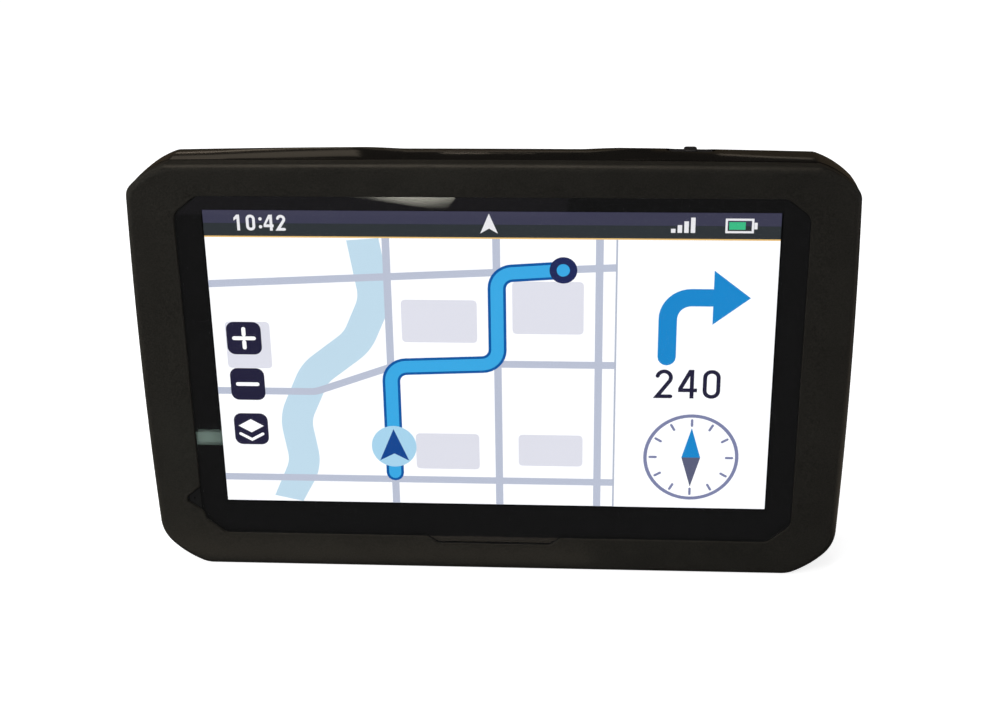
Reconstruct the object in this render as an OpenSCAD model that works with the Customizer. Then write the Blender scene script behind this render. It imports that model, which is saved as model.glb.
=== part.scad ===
// Portable navigator with a five inch touch display in a two piece housing.
// X runs to the right of the display, Y from the display to the back, Z up.
// The origin is under the middle of the resting edge.

/* [Body] */
// Width across the middle of the sides
body_w = 140.9; // [138:0.1:150]
// Height from the resting edge to the middle of the top
body_h = 87; // [85:0.1:94]
// Depth from the bezel face to the flat of the back
body_d = 20.5; // [20:0.1:24]
// Radius at both ends of each cut corner
corner_r = 4.3; // [4:0.1:6]
// Radius of the gently bowed cut across each corner
corner_bow_r = 21; // [16:1:26]
// Turn of the outline from a side to the cut of the upper corners, in degrees
upper_turn = 42; // [36:1:45]
// Turn of the outline at the end of the cut of the upper corners, in degrees
upper_end = 62; // [57:1:65]
// Turn of the outline from a side to the cut of the lower corners, in degrees
lower_turn = 33; // [29:1:37]
// Turn of the outline at the end of the cut of the lower corners, in degrees
lower_end = 57; // [53:1:61]
// Half angle of the bowed sides, in degrees
side_bow = 1.8; // [0.8:0.1:2]
// Half angle of the bowed top, in degrees
top_bow = 0.6; // [0.3:0.1:1.2]

/* [Front bezel] */
// Bezel width at the left and right of the opening
bezel_side = 9.75; // [9.5:0.05:12]
// Bezel height above the opening
bezel_top = 6.5; // [5.5:0.1:9]
// Bezel height below the opening
bezel_bottom = 7.9; // [7.4:0.1:10]
// Depth of the bezel from its face to the parting line
bezel_depth = 3.6; // [3.2:0.1:4.2]
// Thickness of the lip around the opening
bezel_lip = 0.6; // [0.5:0.1:1]
// Thickness of the outer wall
bezel_wall = 1.5; // [1.2:0.1:1.7]
// Fillet along the outer front edge
bezel_edge_r = 1.4; // [0.8:0.1:1.8]
// Fillet along the edge of the opening
opening_edge_r = 0.3; // [0.2:0.05:0.4]
// Leg of the cut corners of the opening, along the width
opening_cut_w = 5.2; // [4:0.1:6.5]
// Leg of the cut corners of the opening, along the height
opening_cut_h = 4.6; // [4:0.1:6]
// Rounding of the corners of the opening
opening_r = 2; // [1.2:0.1:2.6]
// Width of the notch in the sill at its mouth
sill_notch_w = 27.4; // [20:0.2:40]
// Run of each slanted end of the sill notch
sill_notch_slant = 2.2; // [1.6:0.1:3]
// Depth of the sill notch
sill_notch_d = 1.5; // [1.2:0.1:1.9]

/* [Display] */
// Black border of the glass at the left and right of the picture
border_side = 5.1; // [5:0.1:8]
// Black border above the picture
border_top = 3.2; // [3:0.1:6]
// Black border below the picture
border_bottom = 6.2; // [5.8:0.1:9]
// Overlap of the glass behind the bezel
glass_lap = 1.2; // [0.9:0.1:1.3]
// Thickness of the foam between bezel and glass
gasket_t = 0.2; // [0.15:0.05:0.4]
// Thickness of the cover glass
glass_t = 1.1; // [0.9:0.1:1.4]
// Thickness of the touch sensor
sensor_t = 0.5; // [0.4:0.1:0.8]
// Thickness of the dust gasket
dust_t = 1.3; // [1:0.1:1.6]
// Thickness of the liquid crystal panel
panel_t = 1.1; // [0.9:0.1:1.3]
// Thickness of the backlight
light_t = 1.8; // [1.5:0.1:2.2]
// Thickness of the metal tray
tray_t = 0.3; // [0.2:0.05:0.4]

/* [Rear cover] */
// Wall thickness
wall = 2; // [1.7:0.1:2.2]
// Depth behind the bezel face at which the top starts to fall away
top_start = 11.5; // [8:0.1:12]
// Half angle of the bowed top of the rear cover, in degrees
rear_bow = 1.3; // [0.6:0.1:1.6]
// Height of the swell of the top behind the bezel
rear_rise = 0.2; // [0:0.1:0.4]
// Drop of the top at the back
top_run = 13.6; // [8:0.2:14]
// Depth behind the bezel face at which the sides start to draw in
side_start = 11.5; // [8:0.1:12]
// Draw of each side at the back
side_run = 13.6; // [8:0.2:14]
// Depth behind the bezel face at which the bottom starts to rise
bottom_start = 13.6; // [12:0.2:15]
// Rise of the bottom at the back
bottom_run = 6.4; // [4:0.2:6.6]
// Width of the shadow groove at the parting line
groove_w = 0.5; // [0.3:0.1:0.7]
// Depth of the shadow groove
groove_d = 0.8; // [0.4:0.1:0.9]
// Width of the scoop in the middle of the top
scoop_w = 56; // [40:1:60]
// Run of each sloped end of the scoop
scoop_slope = 8; // [6:0.5:12]
// Depth of the scoop
scoop_d = 1.2; // [0.6:0.1:1.6]

/* [Cradle socket] */
// Width of the socket in the back
dock_w = 42; // [36:0.5:44]
// Height of the socket
dock_h = 30; // [26:0.5:30]
// Depth of the socket
dock_d = 4.8; // [4:0.1:5]
// Height of the socket centre above the resting edge
dock_z = 53; // [52:0.5:54]
// Walls around the socket
dock_wall = 2.4; // [2:0.1:2.6]
// Thickness of the socket floor
dock_floor = 1.6; // [1.2:0.1:1.8]
// Number of contacts
contact_count = 6; // [4:1:8]
// Spacing of the contacts
contact_pitch = 2.54; // [2.2:0.02:3]
// Diameter of a contact
contact_dia = 1.5; // [1.2:0.1:1.6]

/* [Speaker] */
// Diameter of the speaker
speaker_dia = 28; // [24:0.5:28]
// Height of the speaker centre above the resting edge
speaker_z = 21; // [20.5:0.1:21.2]
// Depth of the speaker
speaker_d = 5.8; // [5:0.1:6]
// Height of a grille slot
slot_h = 1.5; // [1:0.1:1.8]
// Spacing of the grille slots
slot_pitch = 3; // [2.6:0.1:3.4]
// Number of grille slots
slot_count = 7; // [5:2:7]

/* [Board] */
// Thickness of the mid frame
frame_t = 1; // [0.8:0.1:1.2]
// Height of the stand-offs
standoff_h = 1; // [0.8:0.1:1.2]
// Thickness of the main board
board_t = 1.2; // [1:0.1:1.4]
// Side of the square patch antenna
antenna_w = 18; // [15:0.5:18]
// Thickness of the patch antenna
antenna_t = 4; // [2:0.5:4]
// Height of the shield cans
can_h = 1.8; // [1.2:0.1:2]

/* [Battery] */
// Width of the battery
battery_w = 27; // [22:0.5:28]
// Height of the battery
battery_h = 50; // [40:1:50]
// Thickness of the battery
battery_t = 5; // [4:0.1:5.2]

/* [Ports] */
// Width of the USB opening in the housing
usb_open_w = 9.4; // [8.6:0.1:11]
// Height of the USB opening
usb_open_h = 5.2; // [4.6:0.1:5.6]
// Width of the memory card slot
card_slot_w = 12.4; // [11.8:0.1:13.4]
// Height of the memory card slot
card_slot_h = 1.6; // [1.3:0.1:1.8]

/* [Power key] */
// Position of the key to the right of the middle
key_x = 38.35; // [36:0.05:41]
// Length of the key
key_w = 9; // [7:0.2:11]
// Breadth of the key
key_b = 3.4; // [3:0.1:3.8]
// Width of the raised rib across the key
key_rib_w = 2.5; // [2:0.1:4]
// Height of the rib above the key
key_rib_h = 0.8; // [0.4:0.1:1]
// Travel of the key
key_travel = 0.4; // [0.2:0.05:0.5]

/* [Microphone] */
// Height of the microphone below the middle of the body
mic_drop = 27.8; // [27:0.2:28.6]
// Diameter of the capsule
mic_dia = 4; // [3:0.1:4.2]
// Depth of the notch beside the microphone
mic_notch_d = 2.6; // [2.2:0.1:2.8]

/* [Fasteners] */
// Diameter of the housing screws
screw_dia = 2; // [1.8:0.1:2.3]
// Diameter of a housing screw head
screw_head_dia = 3.6; // [3.2:0.1:3.8]
// Height of the screws above and below the middle of the body
screw_spread = 20; // [18:0.5:21]
// Diameter of the bosses that take the screws
boss_dia = 5; // [4.6:0.1:5.1]

/* [Clearances] */
// Play around the glass in its pocket
glass_fit = 0.2; // [0.1:0.05:0.3]
// Play between the tongue of the rear cover and the bezel wall
tongue_fit = 0.15; // [0.1:0.05:0.25]
// Play around the power key in its hole
key_fit = 0.3; // [0.2:0.05:0.4]
// Play around the USB shell in the housing
usb_fit = 0.2; // [0.1:0.05:0.3]
// Play around a contact in the socket floor
contact_fit = 0.2; // [0.1:0.05:0.3]
// Play of a screw in its clearance hole, on the diameter
screw_fit = 0.4; // [0.3:0.1:0.6]

/* [Hidden] */
$fn = 48;
eps = 0.01;
bow_steps = 3;
corner_steps = 6;
cut_steps = 5;
pillow_steps = 12;
front_y = -body_d / 2;
rear_y = body_d / 2;
mid_z = body_h / 2;
parting_y = front_y + bezel_depth;
lip_y = front_y + bezel_lip;
glass_y = lip_y + gasket_t;
sensor_y = glass_y + glass_t;
dust_y = sensor_y + sensor_t;
panel_y = dust_y + dust_t;
light_y = panel_y + panel_t;
tray_y = light_y + light_t;
frame_y = tray_y + tray_t;
frame_back = frame_y + frame_t;
board_y = frame_back + standoff_h;
board_back = board_y + board_t;
inner_y = rear_y - wall;

opening_w = body_w - 2 * bezel_side;
opening_top = body_h - bezel_top;
open_x = opening_w / 2;
glass_bottom = bezel_bottom - sill_notch_d - glass_lap + 0.4;
glass_top = opening_top + glass_lap;
glass_x = open_x + glass_lap;
picture_x = open_x - border_side;
picture_top = opening_top - border_top;
picture_bottom = bezel_bottom + border_bottom;
glass_r = 2;
sensor_in = 1;
tray_x = picture_x + 4.9;
tray_top = picture_top + 3.4 - tray_t;
tray_bottom = picture_bottom - 7.4;
rib_t = 1;
bezel_plate = 2;

rim_gap = 0.2;
rim_t = 1;
rim_h = 1.5;
frame_x = tray_x + rim_gap + rim_t;
frame_top = tray_top + rim_gap + rim_t;
frame_bottom = tray_bottom - rim_gap - rim_t;

boss_r = boss_dia / 2;
boss_x = body_w / 2 - 5.35;
boss_z = [mid_z - screw_spread, mid_z + screw_spread];
ear_r = boss_r + 0.4;
post_r = boss_r + 0.5;
pilot_r = screw_dia / 2 - 0.2;
shank_r = pilot_r - 0.05;
screw_hole_r = (screw_dia + screw_fit) / 2;
head_y = frame_back + 3.4;
head_h = 1.5;
screw_len = head_y - lip_y - 1;
tongue_in = wall + 0.6;
tongue_h = 1;

board_x = body_w / 2 - 9.25;
board_bottom = frame_bottom + 3.2;
board_top = body_h - 9.3;
board_hole_x = board_x - 6.2;
board_hole_z = [board_bottom + 5.4, board_top - 6.4];
board_screw_dia = 1.6;
board_head_dia = 3;
board_head_h = 0.9;

flex_t = 0.3;
lcd_flex_in = 0.4;
lcd_flex_drop = 2.4;
touch_flex_in = 0.1;
touch_flex_rise = 0.4;
lcd_flex_x = -24;
lcd_flex_w = 24;
touch_flex_x = 24;
touch_flex_w = 10;
flex_back = board_back + 0.5;
connector_z = board_bottom + 2;
connector_b = 4.4;
connector_h = 1.4;

dock_y = rear_y - dock_d;
dock_back = dock_y - dock_floor;
contact_board_t = 0.8;
contact_z = dock_z - dock_h / 2 + 7;
contact_board_w = 24;
contact_board_h = 7;
dock_plug_w = 16;
dock_plug_h = 4;

mesh_t = 0.2;
seal_t = 0.6;
speaker_y = inner_y - mesh_t - seal_t;
speaker_r = speaker_dia / 2;
magnet_r = 8;
magnet_h = 2.4;
grille_r = speaker_r - 3;

battery_x = dock_w / 2 + dock_wall + 1 + battery_w / 2;
battery_drop = 5.5;
battery_z = mid_z - battery_drop;
battery_pad = 0.2;
battery_y = inner_y - battery_pad - battery_t;
tape_in = 5;
plug_w = 6.4;
plug_h = 3.8;
plug_t = 2.6;
lead_run = 3.2;
plug_z = battery_z + battery_h / 2 + lead_run + plug_h / 2;

usb_x = body_w / 2 - 2.95;
usb_len = 9;
usb_w = 7.7;
usb_h = 3.9;
usb_y = board_back + usb_h / 2;
card_x = body_w / 2 - 3.25;
card_len = 14.5;
card_w = 14.4;
card_h = 1.9;
card_y = board_back + card_h / 2;

// Shield cans: place and size, the left one beside the USB socket, the right one beside the card socket
can_t = 0.3;
can_usb_gap = 7.5;
can_card_gap = 3.8;
left_can_w = 26;
left_can_h = 27;
left_can_drop = 7;
right_can_w = 22;
right_can_h = 24;
right_can_drop = 6;
left_can_x = -usb_x + usb_len + can_usb_gap + left_can_w / 2;
right_can_x = card_x - card_len - can_card_gap - right_can_w / 2;

switch_w = 6.2;
switch_h = 3.6;
switch_y = board_back + switch_h / 2;
switch_top = board_top + 0.8;
plunger_w = 2.8;
plunger_b = 1.6;
plunger_top = switch_top + 1;
plunger_bottom = switch_top - 1;
plunger_gap = 0.2;
key_y = switch_y;
key_top = body_h - 0.7;
key_flange_top = body_h - 4.2;
key_flange_h = 0.8;
key_flange = 0.9;
flange_gap = 0.1;
key_rib_in = 0.2;
key_rib_r = 0.6;
key_seat_w = 4;
key_seat_b = 3.4;

mic_z = mid_z - mic_drop;
mic_mouth = 5.4;
mic_floor = 1.8;
mic_round = 0.6;
sill_round = 1.2;
boot_fit = 0.1;
boot_x = glass_x + glass_fit + boot_fit;
boot_w = 4.4;
boot_b = 5;
boot_h = 3.2;
mic_h = 1.5;
mic_x = -boot_x - boot_w / 2;
mic_y = lip_y + boot_h - mic_h;

bezel_black = [0.15, 0.145, 0.13];
cover_black = [0.09, 0.09, 0.1];
board_green = [0.1, 0.35, 0.22];
tin = [0.72, 0.72, 0.7];
ribbon_amber = [0.75, 0.45, 0.1];
rubber_black = [0.06, 0.06, 0.06];

function unit(v) = v / norm(v);

function rect_pts(x0, z0, x1, z1) = [[x0, z0], [x1, z0], [x1, z1], [x0, z1]];

function round_vertex(a, b, c, r, n) =
    let (u = unit(a - b), v = unit(c - b))
    let (half = acos(max(-1, min(1, u * v))) / 2)
    let (p = b + u * r / tan(half), q = b + v * r / tan(half))
    let (m = b + unit(u + v) * r / sin(half))
    let (s = atan2(p.y - m.y, p.x - m.x), e = atan2(q.y - m.y, q.x - m.x))
    let (turn = (e - s + 540) % 360 - 180)
    [for (i = [0 : n]) m + r * turned(s + turn * i / n)];

// Outline with each corner rounded, by one radius or by a list of them
function round_poly(pts, r, n = 4) =
    let (k = len(pts))
    [for (i = [0 : k - 1])
        each round_vertex(pts[(i + k - 1) % k], pts[i], pts[(i + 1) % k], is_list(r) ? r[i] : r, n)];

// Outline moved outward by g, for points that run anticlockwise
function grow_poly(pts, g) =
    let (k = len(pts))
    [for (i = [0 : k - 1])
        let (u = unit(pts[i] - pts[(i + k - 1) % k]), v = unit(pts[(i + 1) % k] - pts[i]))
        let (a = [u.y, -u.x], b = [v.y, -v.x])
        pts[i] + g * (a + b) / (1 + a * b)];

function turned(a) = [cos(a), sin(a)];

function arc(c, r, a, b, n) = [for (i = [1 : n]) c + r * turned(a + (b - a) * i / n)];

// One quarter of the body outline: bowed side, tight arc, bowed cut, tight arc, and the bowed end if any
function quarter(hw, hh, r, cut_r, t, o, bow, end_bow) =
    let (dx = hw - r * (cos(bow) - cos(t)) - cut_r * (cos(t) - cos(o)) - r * (cos(o) - sin(end_bow)))
    let (dz = hh - r * (sin(t) - sin(bow)) - cut_r * (sin(o) - sin(t)) - r * (cos(end_bow) - sin(o)))
    let (det = sin(bow) * sin(end_bow) - (1 - cos(end_bow)) * (1 - cos(bow)))
    let (flat = end_bow == 0)
    let (side_r = flat ? dz / sin(bow) : (dz * sin(end_bow) - (1 - cos(end_bow)) * dx) / det)
    let (end_r = flat ? 0 : (sin(bow) * dx - (1 - cos(bow)) * dz) / det)
    let (c0 = [hw - side_r, 0])
    let (c1 = c0 + (side_r - r) * turned(bow))
    let (c2 = c1 + (r - cut_r) * turned(t))
    let (c3 = c2 + (cut_r - r) * turned(o))
    let (c4 = c3 + (r - end_r) * turned(90 - end_bow))
    concat(
        [[hw, 0]],
        arc(c0, side_r, 0, bow, bow_steps),
        arc(c1, r, bow, t, corner_steps),
        arc(c2, cut_r, t, o, cut_steps),
        arc(c3, r, o, 90 - end_bow, corner_steps),
        flat ? [] : arc(c4, end_r, 90 - end_bow, 90, bow_steps)
    );

// Body outline at depth y, drawn in by side, top and bottom insets; tight draws in the corner radii too
function ring(y, side, top, bottom, tight = 0, bow = top_bow) =
    let (hw = body_w / 2 - side, hh = (body_h - top - bottom) / 2, z = bottom + hh)
    let (t = min(tight, corner_r - 0.8))
    let (up = quarter(hw, hh, corner_r - t, corner_bow_r - t, upper_turn, upper_end, side_bow, bow))
    let (down = quarter(hw, hh, corner_r - t, corner_bow_r - t, lower_turn, lower_end, side_bow, 0))
    concat(
        [for (p = up) [p.x, y, z + p.y]],
        [for (i = [len(up) - 2 : -1 : 0]) [-up[i].x, y, z + up[i].y]],
        [for (i = [1 : len(down) - 1]) [-down[i].x, y, z - down[i].y]],
        [for (i = [len(down) - 1 : -1 : 1]) [down[i].x, y, z - down[i].y]]
    );

function inset_ring(y, d) = ring(y, d, d, d, d);

function flat_ring(y, pts) = [for (p = pts) [p.x, y, p.y]];

// Fall of a quarter ellipse that starts at one depth and ends with the given run at another
function drop(y, start, end, run) =
    let (t = max(0, (y - start) / (end - start)))
    run * (1 - sqrt(max(0, 1 - t * t)));

// Pillow outline of the rear cover at depth y, with its flat at the depth end, drawn in by d all round
function pillow_ring(y, end, d) =
    let (side = drop(y, front_y + side_start, end, side_run))
    let (top = drop(y, front_y + top_start, end, top_run))
    let (bottom = drop(y, front_y + bottom_start, end, bottom_run))
    let (groove_y = parting_y + groove_w)
    let (swell = max(0, min(1, (y - groove_y) / (front_y + top_start - groove_y))))
    let (bow = top_bow + (rear_bow - top_bow) * swell)
    ring(y, d + side, d + top - rear_rise * swell, d + bottom, d + min(side, top), bow);

// Depths of the pillow outlines, closer together towards the flat
function pillow_depths(end) =
    let (start = front_y + top_start)
    [for (i = [0 : pillow_steps]) start + (end - start) * sin(90 * i / pillow_steps)];

function opening_pts() = [
    [open_x, bezel_bottom + opening_cut_h],
    [open_x, opening_top - opening_cut_h],
    [open_x - opening_cut_w, opening_top],
    [-open_x + opening_cut_w, opening_top],
    [-open_x, opening_top - opening_cut_h],
    [-open_x, mic_z + mic_mouth / 2],
    [-open_x - mic_notch_d, mic_z + mic_floor / 2],
    [-open_x - mic_notch_d, mic_z - mic_floor / 2],
    [-open_x, mic_z - mic_mouth / 2],
    [-open_x, bezel_bottom + opening_cut_h * 0.6],
    [-open_x + opening_cut_w, bezel_bottom],
    [-sill_notch_w / 2, bezel_bottom],
    [-sill_notch_w / 2 + sill_notch_slant, bezel_bottom - sill_notch_d],
    [sill_notch_w / 2 - sill_notch_slant, bezel_bottom - sill_notch_d],
    [sill_notch_w / 2, bezel_bottom],
    [open_x - opening_cut_w, bezel_bottom]
];

function glass_pts() = rect_pts(-glass_x, glass_bottom, glass_x, glass_top);

function picture_pts() = rect_pts(-picture_x, picture_bottom, picture_x, picture_top);

function tray_pts() = rect_pts(-tray_x, tray_bottom, tray_x, tray_top);

opening_round = [
    opening_r, opening_r, opening_r, opening_r, opening_r,
    mic_round, mic_round, mic_round, mic_round,
    1, opening_r, sill_round, sill_round, sill_round, sill_round, opening_r
];

function opening_ring(y, g) = flat_ring(y, round_poly(grow_poly(opening_pts(), g), opening_round, 3));

function middle_pts(x, z, w, h) = rect_pts(x - w / 2, z - h / 2, x + w / 2, z + h / 2);

function slot_pts(x, z, w, h) = round_poly(middle_pts(x, z, w, h), h * 0.499, 4);

// Faces between outlines of n points each, with both ends closed
function skin(m, n) = concat(
    [[for (i = [n - 1 : -1 : 0]) i]],
    [[for (i = [0 : n - 1]) (m - 1) * n + i]],
    [for (j = [0 : m - 2], i = [0 : n - 1])
        let (a = j * n + i, b = j * n + (i + 1) % n)
        each [[a, b, b + n], [a, b + n, a + n]]]
);

// Solid skinned over a list of outlines with equal point counts, from front to back
module loft(rings) {
    polyhedron(
        points = [for (r = rings) each r],
        faces = skin(len(rings), len(rings[0])),
        convexity = 6
    );
}

// Fillet of radius r on a front edge: pairs of depth and draw
function edge_fillet(r, step) =
    [for (a = [0 : step : 90]) [front_y + r * (1 - cos(a)), r * (1 - sin(a))]];

// Flat piece of thickness t whose front is at depth y
module plate(pts, y, t) {
    translate([0, y + t, 0])
        rotate([90, 0, 0])
            linear_extrude(t)
                polygon(pts);
}

// Round pin along the depth, from y0 to y1
module pin(x, z, r, y0, y1) {
    translate([x, y1, z])
        rotate([90, 0, 0])
            cylinder(h = y1 - y0, r = r);
}

module block(x0, y0, z0, x1, y1, z1) {
    translate([x0, y0, z0])
        cube([x1 - x0, y1 - y0, z1 - z0]);
}

// Upright piece on a width and depth outline, from z0 to z1
module upright(pts, z0, z1) {
    translate([0, 0, z0])
        linear_extrude(z1 - z0)
            polygon(pts);
}

// Ribbon of the given width about x, bent along a depth and height outline
module ribbon(x, w, pts) {
    translate([x - w / 2, 0, 0])
        rotate([90, 0, 90])
            linear_extrude(w)
                polygon(pts);
}

// Round lead of radius r along a path
module lead(path, r) {
    k = len(path);
    n = 8;
    loft([for (i = [0 : k - 1])
        let (d = unit(path[min(i + 1, k - 1)] - path[max(i - 1, 0)]))
        let (u = unit(cross(d, [0.31, 0.2, 0.93])), v = cross(d, u))
        [for (a = [0 : n - 1]) path[i] + r * (cos(360 * a / n) * u - sin(360 * a / n) * v)]]);
}

module at_bosses() {
    for (x = [-boss_x, boss_x], z = boss_z)
        translate([x, 0, z])
            children();
}

module at_board_holes() {
    for (x = [-board_hole_x, board_hole_x], z = board_hole_z)
        translate([x, 0, z])
            children();
}

module front_bezel() {
    outer_edge = edge_fillet(bezel_edge_r, 22.5);
    lip_edge = edge_fillet(opening_edge_r, 30);
    pocket = grow_poly(glass_pts(), glass_fit);
    boot_pocket = boot_fit + boot_b / 2;
    color(bezel_black)
        difference() {
            union() {
                difference() {
                    loft(concat(
                        [for (f = outer_edge) inset_ring(f[0], f[1])],
                        [inset_ring(parting_y, 0)]
                    ));
                    difference() {
                        loft([
                            inset_ring(front_y + bezel_plate, bezel_wall),
                            inset_ring(parting_y + 1, bezel_wall)
                        ]);
                        plate(round_poly(grow_poly(pocket, rib_t), 3), front_y, bezel_depth);
                    }
                }
                at_bosses() pin(0, 0, boss_r, front_y + bezel_plate - eps, frame_y);
            }
            plate(round_poly(pocket, glass_r), lip_y, bezel_depth);
            loft(concat(
                [opening_ring(front_y - 1, opening_edge_r)],
                [for (f = lip_edge) opening_ring(f[0], f[1])],
                [opening_ring(lip_y + 0.1, 0)]
            ));
            block(
                -boot_x - boot_w - boot_fit,
                lip_y,
                mic_z - boot_pocket,
                -glass_x,
                parting_y + 1,
                mic_z + boot_pocket
            );
            at_bosses() pin(0, 0, pilot_r, lip_y + 0.6, frame_y + 1);
        }
}

module glass_gasket() {
    g = 0.3;
    color(rubber_black)
        difference() {
            plate(round_poly(glass_pts(), glass_r), lip_y, gasket_t);
            plate(round_poly(grow_poly(opening_pts(), g), 0.5, 3), lip_y - 1, gasket_t + 2);
        }
}

module cover_glass() {
    color([0.05, 0.05, 0.06, 0.5])
        plate(round_poly(glass_pts(), glass_r), glass_y, glass_t);
}

module touch_sensor() {
    color([0.5, 0.55, 0.6, 0.5])
        plate(grow_poly(glass_pts(), -sensor_in), sensor_y, sensor_t);
}

module dust_gasket() {
    edge = 1.6;
    color(rubber_black)
        difference() {
            plate(tray_pts(), dust_y, dust_t);
            plate(grow_poly(picture_pts(), edge), dust_y - 1, dust_t + 2);
        }
}

module lcd_panel() {
    color([0.85, 0.88, 0.9])
        plate(grow_poly(tray_pts(), -tray_t), panel_y, panel_t);
}

module backlight_unit() {
    color([0.95, 0.95, 0.92])
        plate(grow_poly(tray_pts(), -tray_t), light_y, light_t);
}

module lcd_tray() {
    color(tin)
        difference() {
            plate(tray_pts(), panel_y, frame_y - panel_y);
            plate(grow_poly(tray_pts(), -tray_t), panel_y - 1, tray_y - panel_y + 1);
            block(
                lcd_flex_x - lcd_flex_w / 2 - 0.5,
                panel_y - 1,
                tray_bottom - 1,
                lcd_flex_x + lcd_flex_w / 2 + 0.5,
                tray_y,
                tray_bottom + tray_t
            );
        }
}

module lcd_flex() {
    y = panel_y + lcd_flex_in;
    low = tray_bottom - lcd_flex_drop;
    far = flex_back + flex_t;
    outer = [
        [y, tray_bottom + tray_t],
        [y, low],
        [far, low],
        [far, connector_z],
        [flex_back, connector_z],
        [flex_back, low + flex_t],
        [y + flex_t, low + flex_t],
        [y + flex_t, tray_bottom + tray_t]
    ];
    color(ribbon_amber)
        ribbon(lcd_flex_x, lcd_flex_w, outer);
}

module touch_flex() {
    y = sensor_y + touch_flex_in;
    low = glass_bottom + touch_flex_rise;
    far = flex_back + flex_t;
    outer = [
        [y, glass_bottom + sensor_in],
        [y, low],
        [far, low],
        [far, connector_z],
        [flex_back, connector_z],
        [flex_back, low + flex_t],
        [y + flex_t, low + flex_t],
        [y + flex_t, glass_bottom + sensor_in]
    ];
    color(ribbon_amber)
        ribbon(touch_flex_x, touch_flex_w, outer);
}

module mid_frame() {
    rim = rect_pts(-frame_x, frame_bottom, frame_x, frame_top);
    tray = grow_poly(tray_pts(), rim_gap);
    ear_w = 2 * (boss_x + ear_r);
    color([0.3, 0.31, 0.33])
        difference() {
            union() {
                plate(rim, frame_y, frame_t);
                difference() {
                    plate(rim, frame_y - rim_h, rim_h + eps);
                    plate(tray, frame_y - rim_h - 1, rim_h + 1);
                }
                for (z = boss_z)
                    plate(round_poly(middle_pts(0, z, ear_w, 2 * ear_r), 2), frame_y, frame_t);
                at_board_holes() pin(0, 0, 2.2, frame_y, board_y);
            }
            at_bosses() pin(0, 0, screw_hole_r, frame_y - 1, frame_back + 1);
            at_board_holes() pin(0, 0, 0.65, frame_y - 1, board_y + 1);
            for (f = [[lcd_flex_x, lcd_flex_w], [touch_flex_x, touch_flex_w]])
                block(
                    f[0] - f[1] / 2 - 1,
                    frame_y - rim_h - 1,
                    frame_bottom - 1,
                    f[0] + f[1] / 2 + 1,
                    frame_back + 1,
                    tray_bottom + 0.8
                );
            for (x = [-33, 0, 33])
                plate(round_poly(middle_pts(x, mid_z, 22, 44), 3), frame_y - 1, frame_t + 2);
        }
}

module main_board() {
    color(board_green)
        difference() {
            plate(round_poly(rect_pts(-board_x, board_bottom, board_x, board_top), 2), board_y, board_t);
            at_board_holes() pin(0, 0, board_screw_dia / 2 + 0.15, board_y - 1, board_back + 1);
        }
}

module board_screws() {
    color(tin)
        at_board_holes() {
            pin(0, 0, board_head_dia / 2, board_back, board_back + board_head_h);
            pin(0, 0, 0.6, frame_y + 0.2, board_back + eps);
        }
}

module shield_cans() {
    left = middle_pts(left_can_x, mid_z - left_can_drop, left_can_w, left_can_h);
    right = middle_pts(right_can_x, mid_z - right_can_drop, right_can_w, right_can_h);
    color(tin)
        for (c = [left, right])
            difference() {
                plate(c, board_back, can_h);
                plate(grow_poly(c, -can_t), board_back - 1, can_h + 1 - can_t);
            }
}

module ribbon_connectors() {
    color([0.85, 0.83, 0.76])
        for (f = [[lcd_flex_x, lcd_flex_w + 3], [touch_flex_x, touch_flex_w + 3]])
            block(
                f[0] - f[1] / 2,
                board_back,
                connector_z,
                f[0] + f[1] / 2,
                board_back + connector_h,
                connector_z + connector_b
            );
}

module gps_antenna() {
    x = -board_hole_x + 4 + antenna_w / 2;
    z = board_top - 3 - antenna_w / 2;
    tile = middle_pts(x, z, antenna_w, antenna_w);
    top = board_back + antenna_t;
    color([0.8, 0.72, 0.55])
        union() {
            plate(round_poly(tile, 1), board_back, antenna_t);
            plate(grow_poly(tile, -2.5), top - eps, 0.1);
            pin(x + 1.5, z, 0.9, top - eps, top + 0.4);
        }
}

function usb_profile(d) = [
    [usb_w / 2 - d, usb_h - d],
    [-usb_w / 2 + d, usb_h - d],
    [-usb_w / 2 + d, 1.3 + d / 2],
    [-usb_w / 2 + 0.9 + d, d],
    [usb_w / 2 - 0.9 - d, d],
    [usb_w / 2 - d, 1.3 + d / 2]
];

module usb_shell() {
    t = 0.35;
    color(tin)
        translate([-usb_x, board_back, mid_z])
            rotate([90, 0, 90])
                difference() {
                    linear_extrude(usb_len)
                        polygon([for (p = usb_profile(0)) [p.y, p.x]]);
                    translate([0, 0, -1])
                        linear_extrude(usb_len + 1 - t)
                            polygon([for (p = usb_profile(t)) [p.y, p.x]]);
                }
}

module usb_tongue() {
    color([0.12, 0.12, 0.12])
        block(
            -usb_x + 1.6,
            usb_y - 0.1,
            mid_z - 2,
            -usb_x + usb_len - 0.35,
            usb_y + 0.9,
            mid_z + 2
        );
}

module card_socket() {
    t = 0.3;
    back = 1.2;
    x = card_x - card_len / 2;
    color(tin)
        difference() {
            plate(middle_pts(x, mid_z, card_len, card_w), board_back, card_h);
            plate(middle_pts(x + back, mid_z, card_len, card_w - 3), board_back + t, card_h - 2 * t);
        }
}

module battery() {
    color([0.62, 0.65, 0.68])
        plate(
            round_poly(middle_pts(battery_x, battery_z, battery_w, battery_h), 2),
            battery_y,
            battery_t
        );
}

module battery_tape() {
    color([0.9, 0.9, 0.86])
        plate(
            middle_pts(battery_x, battery_z, battery_w - 2 * tape_in, battery_h - 2 * tape_in),
            battery_y + battery_t,
            battery_pad
        );
}

module battery_plug() {
    color([0.92, 0.91, 0.86])
        plate(middle_pts(battery_x, plug_z, plug_w, plug_h), board_back, plug_t);
}

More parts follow.
